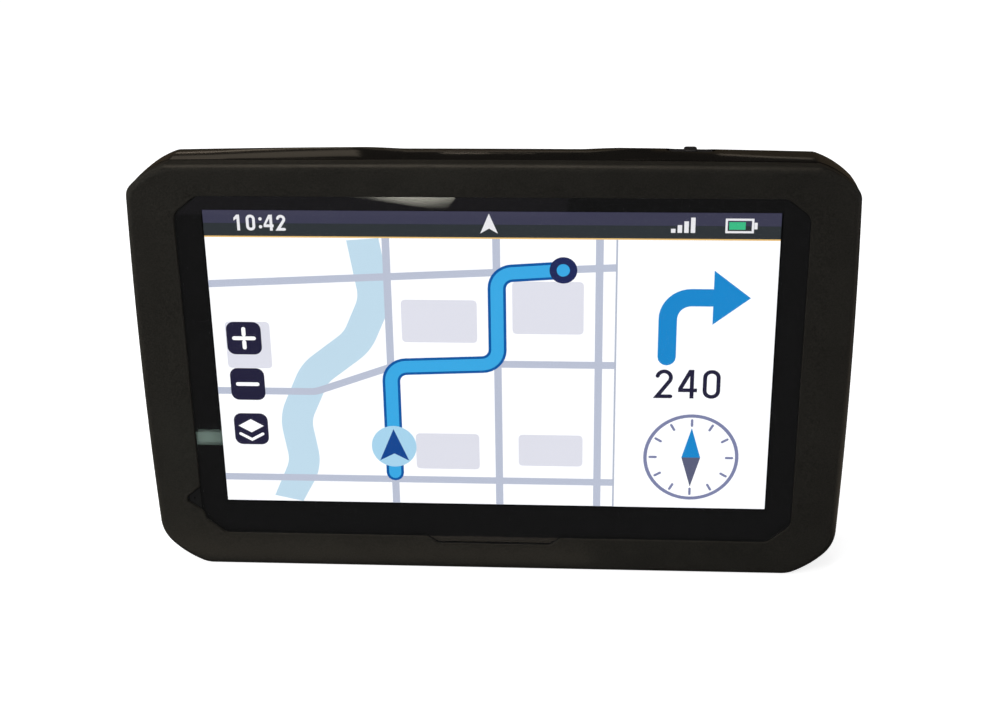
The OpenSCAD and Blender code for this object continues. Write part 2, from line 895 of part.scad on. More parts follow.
module battery_leads() {
    top = battery_z + battery_h / 2;
    color([0.75, 0.08, 0.06])
        for (x = [-2, 0, 2])
            lead(
                [
                    [battery_x + x, battery_y + 2.2, top],
                    [battery_x + x, battery_y + 2.2, top + 1],
                    [battery_x + x, board_back + 2.6, top + 2.2],
                    [battery_x + x, board_back + 1.5, top + 2.6],
                    [battery_x + x, board_back + 1.5, plug_z - plug_h / 2]
                ],
                0.5
            );
}

module speaker_basket() {
    back = speaker_y - speaker_d + magnet_h;
    depth = speaker_y - back;
    color([0.2, 0.2, 0.21])
        translate([0, speaker_y, speaker_z])
            rotate([90, 0, 0])
                rotate_extrude()
                    polygon([
                        [speaker_r - 2.4, 0],
                        [speaker_r, 0],
                        [speaker_r, 1],
                        [magnet_r + 2, depth],
                        [3, depth],
                        [3, depth - 0.8],
                        [magnet_r + 1.4, depth - 0.8],
                        [speaker_r - 2.4, 0.8]
                    ]);
}

module speaker_magnet() {
    color([0.55, 0.55, 0.57])
        pin(0, speaker_z, magnet_r, speaker_y - speaker_d, speaker_y - speaker_d + magnet_h);
}

module speaker_diaphragm() {
    r = speaker_r - 2.6;
    color([0.1, 0.1, 0.1])
        translate([0, speaker_y - 0.5, speaker_z])
            rotate([90, 0, 0])
                rotate_extrude()
                    polygon([
                        [0, -0.1],
                        [4, 0.5],
                        [r - 2.2, 0.2],
                        [r - 1.1, -0.2],
                        [r + 0.2, 0],
                        [r + 0.2, 0.3],
                        [r - 1.1, 0.1],
                        [r - 2.2, 0.5],
                        [4, 0.8],
                        [0, 0.2]
                    ]);
}

module speaker_seal() {
    color(rubber_black)
        difference() {
            pin(0, speaker_z, speaker_r - 0.4, speaker_y, speaker_y + seal_t);
            pin(0, speaker_z, speaker_r - 2.2, speaker_y - 1, speaker_y + seal_t + 1);
        }
}

module speaker_mesh() {
    color([0.04, 0.04, 0.04])
        pin(0, speaker_z, speaker_r - 0.8, inner_y - mesh_t, inner_y);
}

module speaker_pad() {
    color([0.25, 0.25, 0.26])
        pin(0, speaker_z, 5, board_back, speaker_y - speaker_d);
}

module speaker_leads() {
    y = speaker_y - speaker_d + magnet_h;
    color([0.1, 0.1, 0.12])
        for (z = [-1.2, 1.2])
            lead(
                [
                    [-magnet_r - 0.9, y, speaker_z + z],
                    [-magnet_r - 0.9, y - 1, speaker_z + z],
                    [-magnet_r - 1.8, board_back + 0.9, speaker_z + z],
                    [-magnet_r - 3, board_back + 0.45, speaker_z + z],
                    [-magnet_r - 7, board_back + 0.45, speaker_z + z]
                ],
                0.45
            );
}

module contact_board() {
    color(board_green)
        plate(
            middle_pts(0, contact_z, contact_board_w, contact_board_h),
            dock_back - contact_board_t,
            contact_board_t
        );
}

function row(count, pitch) = [for (i = [0 : count - 1]) (i - (count - 1) / 2) * pitch];

function contact_places() = row(contact_count, contact_pitch);

function slot_places() = row(slot_count, slot_pitch);

module dock_contacts() {
    color([0.85, 0.65, 0.25])
        for (x = contact_places())
            pin(x, contact_z, contact_dia / 2, dock_back, dock_y + 0.4);
}

module dock_connector() {
    color([0.85, 0.83, 0.76])
        plate(
            middle_pts(0, contact_z, dock_plug_w, dock_plug_h),
            board_back,
            dock_back - contact_board_t - board_back
        );
}

module power_switch() {
    color([0.12, 0.12, 0.13])
        difference() {
            upright(middle_pts(key_x, switch_y, switch_w, switch_h), switch_top - 4, switch_top);
            upright(
                middle_pts(key_x, switch_y, plunger_w + 2 * key_fit, plunger_b + 2 * key_fit),
                plunger_bottom - key_travel - plunger_gap,
                switch_top + 1
            );
        }
}

module switch_plunger() {
    color([0.8, 0.78, 0.72])
        upright(middle_pts(key_x, switch_y, plunger_w, plunger_b), plunger_bottom, plunger_top);
}

module power_key() {
    flange_bottom = key_flange_top - key_flange_h;
    rib_top = key_top + key_rib_h;
    color([0.2, 0.2, 0.21])
        union() {
            upright(slot_pts(key_x, key_y, key_w, key_b), flange_bottom, key_top);
            upright(
                round_poly(middle_pts(key_x, key_y, key_rib_w, key_b - 2 * key_rib_in), key_rib_r),
                flange_bottom,
                rib_top
            );
            upright(
                slot_pts(key_x, key_y, key_w + 2 * key_flange, key_b + 2 * key_flange),
                flange_bottom,
                key_flange_top
            );
            upright(middle_pts(key_x, switch_y, plunger_w, plunger_b), plunger_top, flange_bottom + eps);
        }
}

module microphone_boot() {
    color(rubber_black)
        difference() {
            plate(middle_pts(mic_x, mic_z, boot_w, boot_b), lip_y, boot_h);
            pin(mic_x, mic_z, mic_dia / 2 + 0.05, mic_y, mic_y + mic_h + 1);
            pin(-boot_x - 0.7, mic_z, 0.4, lip_y - 1, mic_y + 0.1);
        }
}

module microphone() {
    color([0.75, 0.73, 0.66])
        pin(mic_x, mic_z, mic_dia / 2, mic_y, mic_y + mic_h);
}

module microphone_leads() {
    color([0.1, 0.1, 0.12])
        for (z = [-0.8, 0.8])
            lead(
                [
                    [mic_x, mic_y + mic_h, mic_z + z],
                    [mic_x, board_back - 0.7, mic_z + z],
                    [mic_x + 0.3, board_back + 0.2, mic_z + z],
                    [mic_x + 1.2, board_back + 0.35, mic_z + z],
                    [-board_x + 1.6, board_back + 0.35, mic_z + z]
                ],
                0.35
            );
}

module socket_cut() {
    w = dock_w / 2;
    h = dock_h / 2;
    hole = rect_pts(-w, dock_z - h, w, dock_z + h);
    loft([
        flat_ring(dock_y, round_poly(hole, 3, 5)),
        flat_ring(rear_y - 0.8, round_poly(grow_poly(hole, 0.2), 3, 5)),
        flat_ring(rear_y + 0.2, round_poly(grow_poly(hole, 1.2), 4, 5))
    ]);
    for (x = [-w / 2, w / 2])
        block(x - 3, dock_y + 0.8, dock_z + h - 1, x + 3, dock_y + 2.6, dock_z + h + dock_wall - 1);
    block(-5, dock_y + 0.8, dock_z - h - dock_wall + 1, 5, dock_y + 2.6, dock_z - h + 1);
}

// Rounded hole in the left side around the USB shell, to the given depth from the outside
module side_cut(h, w, r, depth) {
    translate([-body_w / 2 - 1, 0, 0])
        rotate([90, 0, 90])
            linear_extrude(depth + 1)
                polygon(round_poly(middle_pts(usb_y, mid_z, h, w), r));
}

module rear_cover() {
    outer = concat(
        [inset_ring(parting_y, groove_d), inset_ring(parting_y + groove_w, groove_d)],
        [inset_ring(parting_y + groove_w + eps, 0)],
        [for (y = pillow_depths(rear_y)) pillow_ring(y, rear_y, 0)]
    );
    inner = concat(
        [inset_ring(parting_y - 1, wall)],
        [for (y = pillow_depths(inner_y)) pillow_ring(y, inner_y, wall)]
    );
    scoop_in = scoop_w / 2 - scoop_slope;
    scoop_floor = body_h - scoop_d;
    scoop = [
        [-scoop_w, body_h + 0.1],
        [-scoop_w / 2, body_h + 0.1],
        [-scoop_in, scoop_floor],
        [scoop_in, scoop_floor],
        [scoop_w / 2, body_h + 0.1],
        [scoop_w, body_h + 0.1],
        [scoop_w, body_h + 9],
        [-scoop_w, body_h + 9]
    ];
    scoop_round = [1, 20, 20, 20, 20, 1, 1, 1];
    color(cover_black)
        difference() {
            union() {
                difference() {
                    loft(outer);
                    difference() {
                        loft(inner);
                        at_bosses() pin(0, 0, post_r, frame_back, rear_y);
                        plate(
                            middle_pts(0, dock_z, dock_w + 2 * dock_wall, dock_h + 2 * dock_wall),
                            dock_back,
                            dock_floor + dock_d
                        );
                        upright(middle_pts(0, 0, scoop_w + 8, body_d), body_h - wall - scoop_d, body_h);
                        upright(
                            slot_pts(key_x, key_y, key_w + key_seat_w, key_b + key_seat_b),
                            key_flange_top + flange_gap,
                            body_h + 2
                        );
                    }
                }
                difference() {
                    loft([
                        inset_ring(parting_y - tongue_h, bezel_wall + tongue_fit),
                        inset_ring(parting_y + groove_w + 1, bezel_wall + tongue_fit)
                    ]);
                    loft([
                        inset_ring(parting_y - tongue_h - 1, tongue_in),
                        inset_ring(parting_y + groove_w + 2, tongue_in)
                    ]);
                    at_bosses()
                        pin(0, 0, ear_r + 0.2, parting_y - tongue_h - 1, parting_y + groove_w + 2);
                }
            }
            at_bosses() pin(0, 0, screw_hole_r, frame_back - 1, head_y + 1);
            at_bosses() pin(0, 0, screw_head_dia / 2 + 0.25, head_y, rear_y + 1);
            socket_cut();
            for (x = contact_places())
                pin(x, contact_z, contact_dia / 2 + contact_fit, dock_back - 1, dock_y + 1);
            for (z = slot_places())
                plate(
                    slot_pts(0, speaker_z + z, 2 * sqrt(grille_r * grille_r - z * z), slot_h),
                    inner_y - 1,
                    wall + 2
                );
            side_cut(usb_open_h, usb_open_w, 1.2, 1.2);
            side_cut(usb_h + 2 * usb_fit, usb_w + 2 * usb_fit, 0.8, 4);
            plate(
                middle_pts(body_w / 2, mid_z, 8, card_slot_w),
                card_y - card_slot_h / 2,
                card_slot_h
            );
            upright(
                slot_pts(key_x, key_y, key_w + 2 * key_fit, key_b + 2 * key_fit),
                key_flange_top - 2,
                body_h + 2
            );
            plate(round_poly(scoop, scoop_round, 4), parting_y - 1, body_d);
        }
}

module housing_screws() {
    color([0.35, 0.35, 0.36])
        at_bosses() {
            pin(0, 0, screw_head_dia / 2, head_y, head_y + head_h);
            pin(0, 0, shank_r, head_y - screw_len, head_y + eps);
        }
}

front_bezel();
glass_gasket();
cover_glass();
touch_sensor();
dust_gasket();
lcd_panel();
backlight_unit();
lcd_tray();
lcd_flex();
touch_flex();
mid_frame();
main_board();
board_screws();
shield_cans();
ribbon_connectors();
gps_antenna();
usb_shell();
usb_tongue();
card_socket();
battery();
battery_tape();
battery_plug();
battery_leads();
speaker_basket();
speaker_magnet();
speaker_diaphragm();
speaker_seal();
speaker_mesh();
speaker_pad();
speaker_leads();
contact_board();
dock_contacts();
dock_connector();
power_switch();
switch_plunger();
power_key();
microphone_boot();
microphone();
microphone_leads();
rear_cover();
housing_screws();
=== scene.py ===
"""Looks of the portable navigator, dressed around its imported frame. Lengths in mm become metres by MM."""
import math

import bpy
import numpy as np
from mathutils import Matrix, Vector
from mathutils.geometry import tessellate_polygon


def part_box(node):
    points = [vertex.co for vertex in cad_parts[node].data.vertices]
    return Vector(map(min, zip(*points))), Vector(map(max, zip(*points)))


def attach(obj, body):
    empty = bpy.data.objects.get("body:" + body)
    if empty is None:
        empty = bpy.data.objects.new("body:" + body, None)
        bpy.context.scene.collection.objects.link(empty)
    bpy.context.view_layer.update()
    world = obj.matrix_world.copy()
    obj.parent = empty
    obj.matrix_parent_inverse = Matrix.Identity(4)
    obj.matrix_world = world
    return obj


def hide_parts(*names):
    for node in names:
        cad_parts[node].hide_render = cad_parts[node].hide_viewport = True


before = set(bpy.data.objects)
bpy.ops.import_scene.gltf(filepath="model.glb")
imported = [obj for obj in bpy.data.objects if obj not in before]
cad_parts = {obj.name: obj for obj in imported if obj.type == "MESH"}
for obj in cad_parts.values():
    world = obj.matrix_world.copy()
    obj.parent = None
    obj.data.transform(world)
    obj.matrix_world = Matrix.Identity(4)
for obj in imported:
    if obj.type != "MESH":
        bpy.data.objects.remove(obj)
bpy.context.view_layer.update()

MM = 0.001

# Sizes of the part that the finer skins follow, in mm
BODY_W, BODY_H, BODY_D = 140.9, 87.0, 20.5
SIDE_BOW, TOP_BOW, REAR_BOW, REAR_RISE, REAR_LIFT = 1.8, 0.6, 1.3, 0.2, 0.1
# A corner's three arcs, from the side to the end: their radii, then the angles where the cut starts and ends
UPPER_CORNER = (3.0, 17.8, 3.0, 44.7, 70.2)
LOWER_CORNER = (7.8, 19.8, 6.0, 44.0, 65.1)
LEAST_R = 0.8
TOP_START, TOP_RUN = 11.5, 13.6
SIDE_START, SIDE_RUN = 11.5, 13.6
BOTTOM_START, BOTTOM_RUN = 13.6, 6.4
BEZEL_DEPTH, BEZEL_WALL, BEZEL_PLATE, BEZEL_EDGE_R = 3.6, 1.5, 2.0, 1.4
OPENING_R, MOUTH_R, CURL_R, SILL_R = 2.8, 0.8, 1.4, 1.2
LIP_R, DISH = 0.18, 0.35
WALL, GROOVE_W, GROOVE_D = 2.0, 0.5, 0.8
CROWN = 0.06
EDGE_BREAK, EDGE_MID = 0.06, 0.02
FRONT_Y, REAR_Y = -BODY_D / 2, BODY_D / 2
MID_Z = BODY_H / 2
PARTING_Y = FRONT_Y + BEZEL_DEPTH
GROOVE_Y = PARTING_Y + GROOVE_W
PILLOW_Y = FRONT_Y + TOP_START
LIP_Y = FRONT_Y + 0.6
INNER_Y = REAR_Y - WALL
FRAME_FRONT_Y, FRAME_BACK_Y = -3.35, -2.35
OPEN_X, OPEN_BOTTOM, OPEN_TOP = 60.7, 7.5, 80.5
GLASS_X, GLASS_BOTTOM, GLASS_TOP = 61.9, 5.6, 81.7
GLASS_BACK_Y = -8.35
PANEL_Y = -6.55
MIC_Z, NOTCH_Z = 15.7, 15.4
BOSS_X, BOSS_LOW_Z, BOSS_HIGH_Z = 65.1, 23.5, 63.5
BOSSES = [(x, z) for x in (-BOSS_X, BOSS_X) for z in (BOSS_LOW_Z, BOSS_HIGH_Z)]
HEAD_Y = 1.05
DOCK_W, DOCK_H, DOCK_Z, DOCK_Y = 42.0, 30.0, 53.0, 5.45
CONTACT_COUNT, CONTACT_PITCH, CONTACT_Z = 6, 2.54, 45.0
CONTACTS = [(i - (CONTACT_COUNT - 1) / 2) * CONTACT_PITCH for i in range(CONTACT_COUNT)]
SPEAKER_Z = 21.0
KEY_X, KEY_Y = 38.35, 1.65
USB_Y, CARD_Y = 1.8, 0.8


def cosd(a):
    return math.cos(math.radians(a))


def sind(a):
    return math.sin(math.radians(a))


def turned(a):
    return np.array([cosd(a), sind(a)])


def arc(c, r, a, b, n):
    """Points of an arc after its first one."""
    return [c + r * turned(a + (b - a) * i / n) for i in range(1, n + 1)]


def quarter(hw, hh, corner, tight, bow, end_bow, fine):
    """One quarter of the body outline: bowed side, arc, bowed cut, arc, bowed end. Tight shrinks the arcs.

    The radii of the side and the end are solved so that all the arcs meet as tangents.
    """
    r, cut_r, last_r, t, o = corner
    tight = min(tight, r - LEAST_R, last_r - LEAST_R)
    r, cut_r, last_r = r - tight, cut_r - tight, last_r - tight
    dx = hw - r * (cosd(bow) - cosd(t)) - cut_r * (cosd(t) - cosd(o)) - last_r * (cosd(o) - sind(end_bow))
    dz = hh - r * (sind(t) - sind(bow)) - cut_r * (sind(o) - sind(t)) - last_r * (cosd(end_bow) - sind(o))
    if end_bow == 0:
        side_r, end_r = dz / sind(bow), 0
    else:
        det = sind(bow) * sind(end_bow) - (1 - cosd(end_bow)) * (1 - cosd(bow))
        side_r = (dz * sind(end_bow) - (1 - cosd(end_bow)) * dx) / det
        end_r = (sind(bow) * dx - (1 - cosd(bow)) * dz) / det
    c0 = np.array([hw - side_r, 0])
    c1 = c0 + (side_r - r) * turned(bow)
    c2 = c1 + (r - cut_r) * turned(t)
    c3 = c2 + (cut_r - last_r) * turned(o)
    c4 = c3 + (last_r - end_r) * turned(90 - end_bow)
    pts = [np.array([hw, 0])]
    pts += arc(c0, side_r, 0, bow, 4 * fine)
    pts += arc(c1, r, bow, t, 6 * fine)
    pts += arc(c2, cut_r, t, o, 5 * fine)
    pts += arc(c3, last_r, o, 90 - end_bow, 6 * fine)
    if end_bow:
        pts += arc(c4, end_r, 90 - end_bow, 90, 4 * fine)
    return pts


def ring(y, side, top, bottom, tight=0.0, bow=TOP_BOW, fine=2):
    """Body outline at depth y, drawn in from the side, top and bottom."""
    hw = BODY_W / 2 - side
    hh = (BODY_H - top - bottom) / 2
    z = bottom + hh
    up = quarter(hw, hh, UPPER_CORNER, tight, SIDE_BOW, bow, fine)
    down = quarter(hw, hh, LOWER_CORNER, tight, SIDE_BOW, 0, fine)
    pts = [(p[0], y, z + p[1]) for p in up]
    pts += [(-p[0], y, z + p[1]) for p in up[-2::-1]]
    pts += [(-p[0], y, z - p[1]) for p in down[1:]]
    pts += [(p[0], y, z - p[1]) for p in down[:0:-1]]
    return pts


def inset_ring(y, d, fine=2):
    return ring(y, d, d, d, d, fine=fine)


def drop(y, start, end, run):
    """How far an elliptic fall from the depth start to the depth end has come down at y."""
    t = max(0.0, (y - start) / (end - start))
    return run * (1 - math.sqrt(max(0.0, 1 - t * t)))


def pillow_ring(y, end, d, fine=2):
    """Outline of the rear cover at depth y, with its flat at the depth end, drawn in by d."""
    side = drop(y, FRONT_Y + SIDE_START, end, SIDE_RUN)
    top = drop(y, PILLOW_Y, end, TOP_RUN)
    bottom = drop(y, FRONT_Y + BOTTOM_START, end, BOTTOM_RUN)
    swell = max(0.0, min(1.0, (y - GROOVE_Y) / (PILLOW_Y - GROOVE_Y)))
    bow = TOP_BOW + (REAR_BOW - TOP_BOW) * swell
    lift = REAR_LIFT + REAR_RISE * swell
    return ring(y, d + side, d + top - lift, d + bottom, d + min(side, top), bow, fine)


def pillow_depths(end, steps):
    return [PILLOW_Y + (end - PILLOW_Y) * sind(90 * i / steps) for i in range(steps + 1)]


def unit(v):
    return v / np.linalg.norm(v)


def vectors(pts):
    return [np.array(p, float) for p in pts]


def round_vertex(a, b, c, r, n):
    """Points of the arc of radius r that rounds the corner b between a and c."""
    u, v = unit(a - b), unit(c - b)
    half = math.acos(max(-1.0, min(1.0, float(u @ v)))) / 2
    p, q = b + u * r / math.tan(half), b + v * r / math.tan(half)
    m = b + unit(u + v) * r / math.sin(half)
    s = math.degrees(math.atan2(p[1] - m[1], p[0] - m[0]))
    e = math.degrees(math.atan2(q[1] - m[1], q[0] - m[0]))
    turn = (e - s + 540) % 360 - 180
    return [m + r * turned(s + turn * i / n) for i in range(n + 1)]


def round_poly(pts, r, n=6):
    pts = vectors(pts)
    k = len(pts)
    radii = r if isinstance(r, (list, tuple)) else [r] * k
    out = []
    for i in range(k):
        out += round_vertex(pts[i - 1], pts[i], pts[(i + 1) % k], radii[i], n)
    return out


def grow_poly(pts, g):
    """Outline moved outward by g, for points that run anticlockwise."""
    pts = vectors(pts)
    out = []
    for i, p in enumerate(pts):
        u, v = unit(p - pts[i - 1]), unit(pts[(i + 1) % len(pts)] - p)
        a, b = np.array([u[1], -u[0]]), np.array([v[1], -v[0]])
        out.append(p + g * (a + b) / (1 + a @ b))
    return out


def rect_pts(x0, z0, x1, z1):
    return [(x0, z0), (x1, z0), (x1, z1), (x0, z1)]


def middle_pts(x, z, w, h):
    return rect_pts(x - w / 2, z - h / 2, x + w / 2, z + h / 2)


def glass_pts(g):
    """Outline of the cover glass, grown by g."""
    return grow_poly(rect_pts(-GLASS_X, GLASS_BOTTOM, GLASS_X, GLASS_TOP), g)


def slot_pts(x, z, w, h, n=8):
    return round_poly(middle_pts(x, z, w, h), min(w, h) * 0.499, n)


def opening_pts():
    """Corners of the display opening, with the notches for the microphone and in the sill."""
    upper_w, upper_h, lower_w, lower_h = 4.5, 3.5, 4.7, 4.0
    notch_w, slant, deep = 27.4, 2.2, 1.6
    mouth_top, mouth_bottom, notch_x, floor = 18.2, 12.6, -63.5, 1.1
    mouth_in, curl_in, curl_drop = 0.2, 0.8, 1.8
    return [
        (OPEN_X, OPEN_BOTTOM + lower_h),
        (OPEN_X, OPEN_TOP - upper_h),
        (OPEN_X - upper_w, OPEN_TOP),
        (-OPEN_X + upper_w, OPEN_TOP),
        (-OPEN_X, OPEN_TOP - upper_h),
        (-OPEN_X, mouth_top),
        (notch_x, NOTCH_Z + floor / 2),
        (notch_x, NOTCH_Z - floor / 2),
        (-OPEN_X + mouth_in, mouth_bottom),
        (-OPEN_X + curl_in, mouth_bottom - curl_drop),
        (-OPEN_X + lower_w, OPEN_BOTTOM),
        (-notch_w / 2, OPEN_BOTTOM),
        (-notch_w / 2 + slant, OPEN_BOTTOM - deep),
        (notch_w / 2 - slant, OPEN_BOTTOM - deep),
        (notch_w / 2, OPEN_BOTTOM),
        (OPEN_X - lower_w, OPEN_BOTTOM),
    ]


OPENING_ROUND = [OPENING_R] * 5 + [MOUTH_R] * 4 + [CURL_R, OPENING_R] + [SILL_R] * 4 + [OPENING_R]


def opening_ring(y, g):
    return flat_ring(y, round_poly(grow_poly(opening_pts(), g), OPENING_ROUND, 8))


def flat_ring(y, pts):
    return [(p[0], y, p[1]) for p in pts]


def upright_ring(z, pts):
    return [(p[0], p[1], z) for p in pts]


# Meshes

def mesh_object(name, verts, faces):
    mesh = bpy.data.meshes.new(name)
    mesh.from_pydata([tuple(c * MM for c in v) for v in verts], [], faces)
    mesh.validate()
    obj = bpy.data.objects.new(name, mesh)
    bpy.context.scene.collection.objects.link(obj)
    return obj


def skin(rings):
    """Vertices and faces of a closed solid over outlines with equal point counts."""
    n, m = len(rings[0]), len(rings)
    verts = [p for r in rings for p in r]
    faces = [tuple(range(n - 1, -1, -1)), tuple((m - 1) * n + i for i in range(n))]
    for j in range(m - 1):
        for i in range(n):
            a, b = j * n + i, j * n + (i + 1) % n
            faces.append((a, b, b + n, a + n))
    return verts, faces


def face_out(obj):
    """Turns a closed mesh right side out."""
    mesh = obj.data
    mesh.calc_loop_triangles()
    co = np.array([v.co for v in mesh.vertices])
    volume = sum(float(np.dot(co[t.vertices[0]], np.cross(co[t.vertices[1]], co[t.vertices[2]])))
                 for t in mesh.loop_triangles)
    if volume < 0:
        mesh.flip_normals()
    return obj


def loft(name, rings):
    return face_out(mesh_object(name, *skin(rings)))


def lofts(name, groups):
    """Several closed solids, each over its own outlines, in one object."""
    verts, faces = [], []
    for rings in groups:
        v, f = skin(rings)
        faces += [tuple(i + len(verts) for i in face) for face in f]
        verts += v
    return face_out(mesh_object(name, verts, faces))


def plate(pts, y, t):
    return [flat_ring(y, pts), flat_ring(y + t, pts)]


def circle(x, z, r, n=48):
    return [(x + r * cosd(360 * i / n), z + r * sind(360 * i / n)) for i in range(n)]


def pin(x, z, r, y0, y1, n=40):
    return [flat_ring(y0, circle(x, z, r, n)), flat_ring(y1, circle(x, z, r, n))]


def boss_pins(r, y0, y1):
    return [pin(x, z, r, y0, y1) for x, z in BOSSES]


def upright(pts, z0, z1):
    return [upright_ring(z0, pts), upright_ring(z1, pts)]


CUT, JOIN = "DIFFERENCE", "UNION"


def carve(obj, steps):
    """Cuts or joins solids in turn. Each step is an operation and the tool, which is used up."""
    for operation, tool in steps:
        mod = obj.modifiers.new("step", "BOOLEAN")
        mod.operation = operation
        mod.solver = "EXACT"
        mod.object = tool
        bpy.context.view_layer.update()
        graph = bpy.context.evaluated_depsgraph_get()
        new = bpy.data.meshes.new_from_object(obj.evaluated_get(graph))
        obj.modifiers.remove(mod)
        old, obj.data = obj.data, new
        bpy.data.meshes.remove(old)
        bpy.data.objects.remove(tool)
    return obj


def soften(obj, angle=32):
    """Smooth shading with edges sharper than the angle kept crisp."""
    mesh = obj.data
    mesh.polygons.foreach_set("use_smooth", [True] * len(mesh.polygons))
    normals = {}
    for poly in mesh.polygons:
        for key in poly.edge_keys:
            normals.setdefault(key, []).append(poly.normal)
    limit = cosd(angle)
    for edge in mesh.edges:
        sides = normals.get(edge.key, [])
        edge.use_edge_sharp = len(sides) != 2 or sides[0].dot(sides[1]) < limit
    mod = obj.modifiers.new("weighted", "WEIGHTED_NORMAL")
    mod.keep_sharp = True
    return obj


def dress(obj, material, body="housing"):
    obj.data.materials.clear()
    obj.data.materials.append(material)
    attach(obj, body)
    return obj


# Materials

def srgb(r, g, b):
    out = []
    for c in (r, g, b):
        c /= 255
        out.append(c / 12.92 if c <= 0.04045 else ((c + 0.055) / 1.055) ** 2.4)
    return (*out, 1.0)


class Nodes:
    """A material's node tree with short calls for what the materials here share."""

    def __init__(self, name):
        self.mat = bpy.data.materials.new(name)
        self.mat.use_nodes = True
        self.tree = self.mat.node_tree
        self.bsdf = self.tree.nodes["Principled BSDF"]
        self.place = self.add("ShaderNodeTexCoord").outputs["Object"]

    def add(self, kind, sockets=None, **values):
        node = self.tree.nodes.new(kind)
        for key, value in values.items():
            setattr(node, key, value)
        for key, value in (sockets or {}).items():
            node.inputs[key].default_value = value
        return node

    def link(self, a, b):
        self.tree.links.new(a, b)

    def put(self, **values):
        for key, value in values.items():
            self.bsdf.inputs[key.replace("_", " ")].default_value = value

    def stretched(self, sx, sy, sz):
        node = self.add("ShaderNodeMapping", {"Scale": (sx, sy, sz)})
        self.link(self.place, node.inputs["Vector"])
        return node.outputs["Vector"]

    def noise(self, size_mm, detail=3.0, rough=0.5, vector=None):
        sockets = {"Scale": 1 / (size_mm * MM), "Detail": detail, "Roughness": rough}
        node = self.add("ShaderNodeTexNoise", sockets)
        self.link(vector or self.place, node.inputs["Vector"])
        return node.outputs["Fac"]

    def wave(self, pitch_mm, direction):
        sockets = {"Scale": 2 * math.pi / 20 / (pitch_mm * MM)}
        node = self.add("ShaderNodeTexWave", sockets, wave_type="BANDS", bands_direction=direction)
        self.link(self.place, node.inputs["Vector"])
        return node.outputs["Fac"]

    def spread(self, value, low, high, from_low=0.3, from_high=0.7):
        sockets = {"From Min": from_low, "From Max": from_high, "To Min": low, "To Max": high}
        node = self.add("ShaderNodeMapRange", sockets)
        self.link(value, node.inputs["Value"])
        return node.outputs["Result"]

    def math(self, operation, a, b):
        node = self.add("ShaderNodeMath", operation=operation)
        for socket, value in zip(node.inputs, (a, b)):
            if isinstance(value, (int, float)):
                socket.default_value = value
            else:
                self.link(value, socket)
        return node.outputs[0]

    def ramp(self, value, stops):
        node = self.add("ShaderNodeValToRGB")
        marks = node.color_ramp.elements
        while len(marks) < len(stops):
            marks.new(0.5)
        for mark, (place, colour) in zip(marks, stops):
            mark.position = place
            mark.color = colour
        self.link(value, node.inputs["Fac"])
        return node.outputs["Color"]

    def bump(self, height, depth_mm):
        node = self.add("ShaderNodeBump", {"Strength": 1.0, "Distance": depth_mm * MM})
        self.link(height, node.inputs["Height"])
        self.link(node.outputs["Normal"], self.bsdf.inputs["Normal"])

    def colour(self, value):
        self.link(value, self.bsdf.inputs["Base Color"])

    def roughness(self, value):
        self.link(value, self.bsdf.inputs["Roughness"])


def shade(colour, factor):
    return (*(min(1.0, c * factor) for c in srgb(*colour)[:3]), 1.0)


def moulded(name, colour, rough, grain=0.12, depth=0.01, mottle=0.12, specular=0.5, speckle=0.0, lift=0.0):
    """Moulded plastic or rubber: fine grain, mottled colour and gloss, a speckle, and a lift of the black by
    a painted glow (emission) that stands in for light falling on it.
    """
    n = Nodes(name)
    cloud_size, speckle_size, gloss_size = 9.0, 0.3, 2.5
    tone = n.noise(cloud_size, 2.0)
    if speckle:
        specks = n.math("MULTIPLY", n.noise(speckle_size, 1.0), speckle)
        tone = n.math("ADD", n.math("MULTIPLY", tone, 1 - speckle), specks)
    n.colour(n.ramp(tone, [(0.3, shade(colour, 1 - mottle)), (0.7, shade(colour, 1 + mottle))]))
    n.roughness(n.spread(n.noise(gloss_size), rough * 0.9, rough * 1.1))
    if depth:
        n.bump(n.noise(grain, 2.0, 0.6), depth)
    n.put(Specular_IOR_Level=specular, Emission_Strength=lift)
    return n.mat


def metal(name, colour, rough, brush=(1, 1, 12), depth=0.004):
    """Plated or rolled metal with fine drawn lines."""
    n = Nodes(name)
    line_size, cloud_size = 0.35, 5.0
    lines = n.noise(line_size, 3.0, 0.6, n.stretched(*brush))
    n.colour(n.ramp(n.noise(cloud_size), [(0.3, shade(colour, 0.9)), (0.7, shade(colour, 1.06))]))
    n.roughness(n.spread(lines, rough - 0.08, rough + 0.08))
    n.bump(lines, depth)
    n.put(Metallic=1.0)
    return n.mat


def woven(name, colour, pitch):
    """Fine woven mesh: two crossed sets of threads."""
    n = Nodes(name)
    threads = n.math("MULTIPLY", n.wave(pitch, "X"), n.wave(pitch, "Z"))
    n.colour(n.ramp(threads, [(0.1, shade(colour, 2.2)), (0.6, shade(colour, 0.3))]))
    n.bump(threads, -0.05)
    n.put(Roughness=0.85)
    return n.mat


def ribbon_film(name, pitch=1.0):
    """Amber film with the conductors showing as stripes."""
    n = Nodes(name)
    tracks = n.wave(pitch, "X")
    n.colour(n.ramp(tracks, [(0.35, srgb(206, 140, 44)), (0.5, srgb(168, 96, 30))]))
    n.roughness(n.spread(tracks, 0.3, 0.42))
    n.bump(tracks, 0.02)
    return n.mat


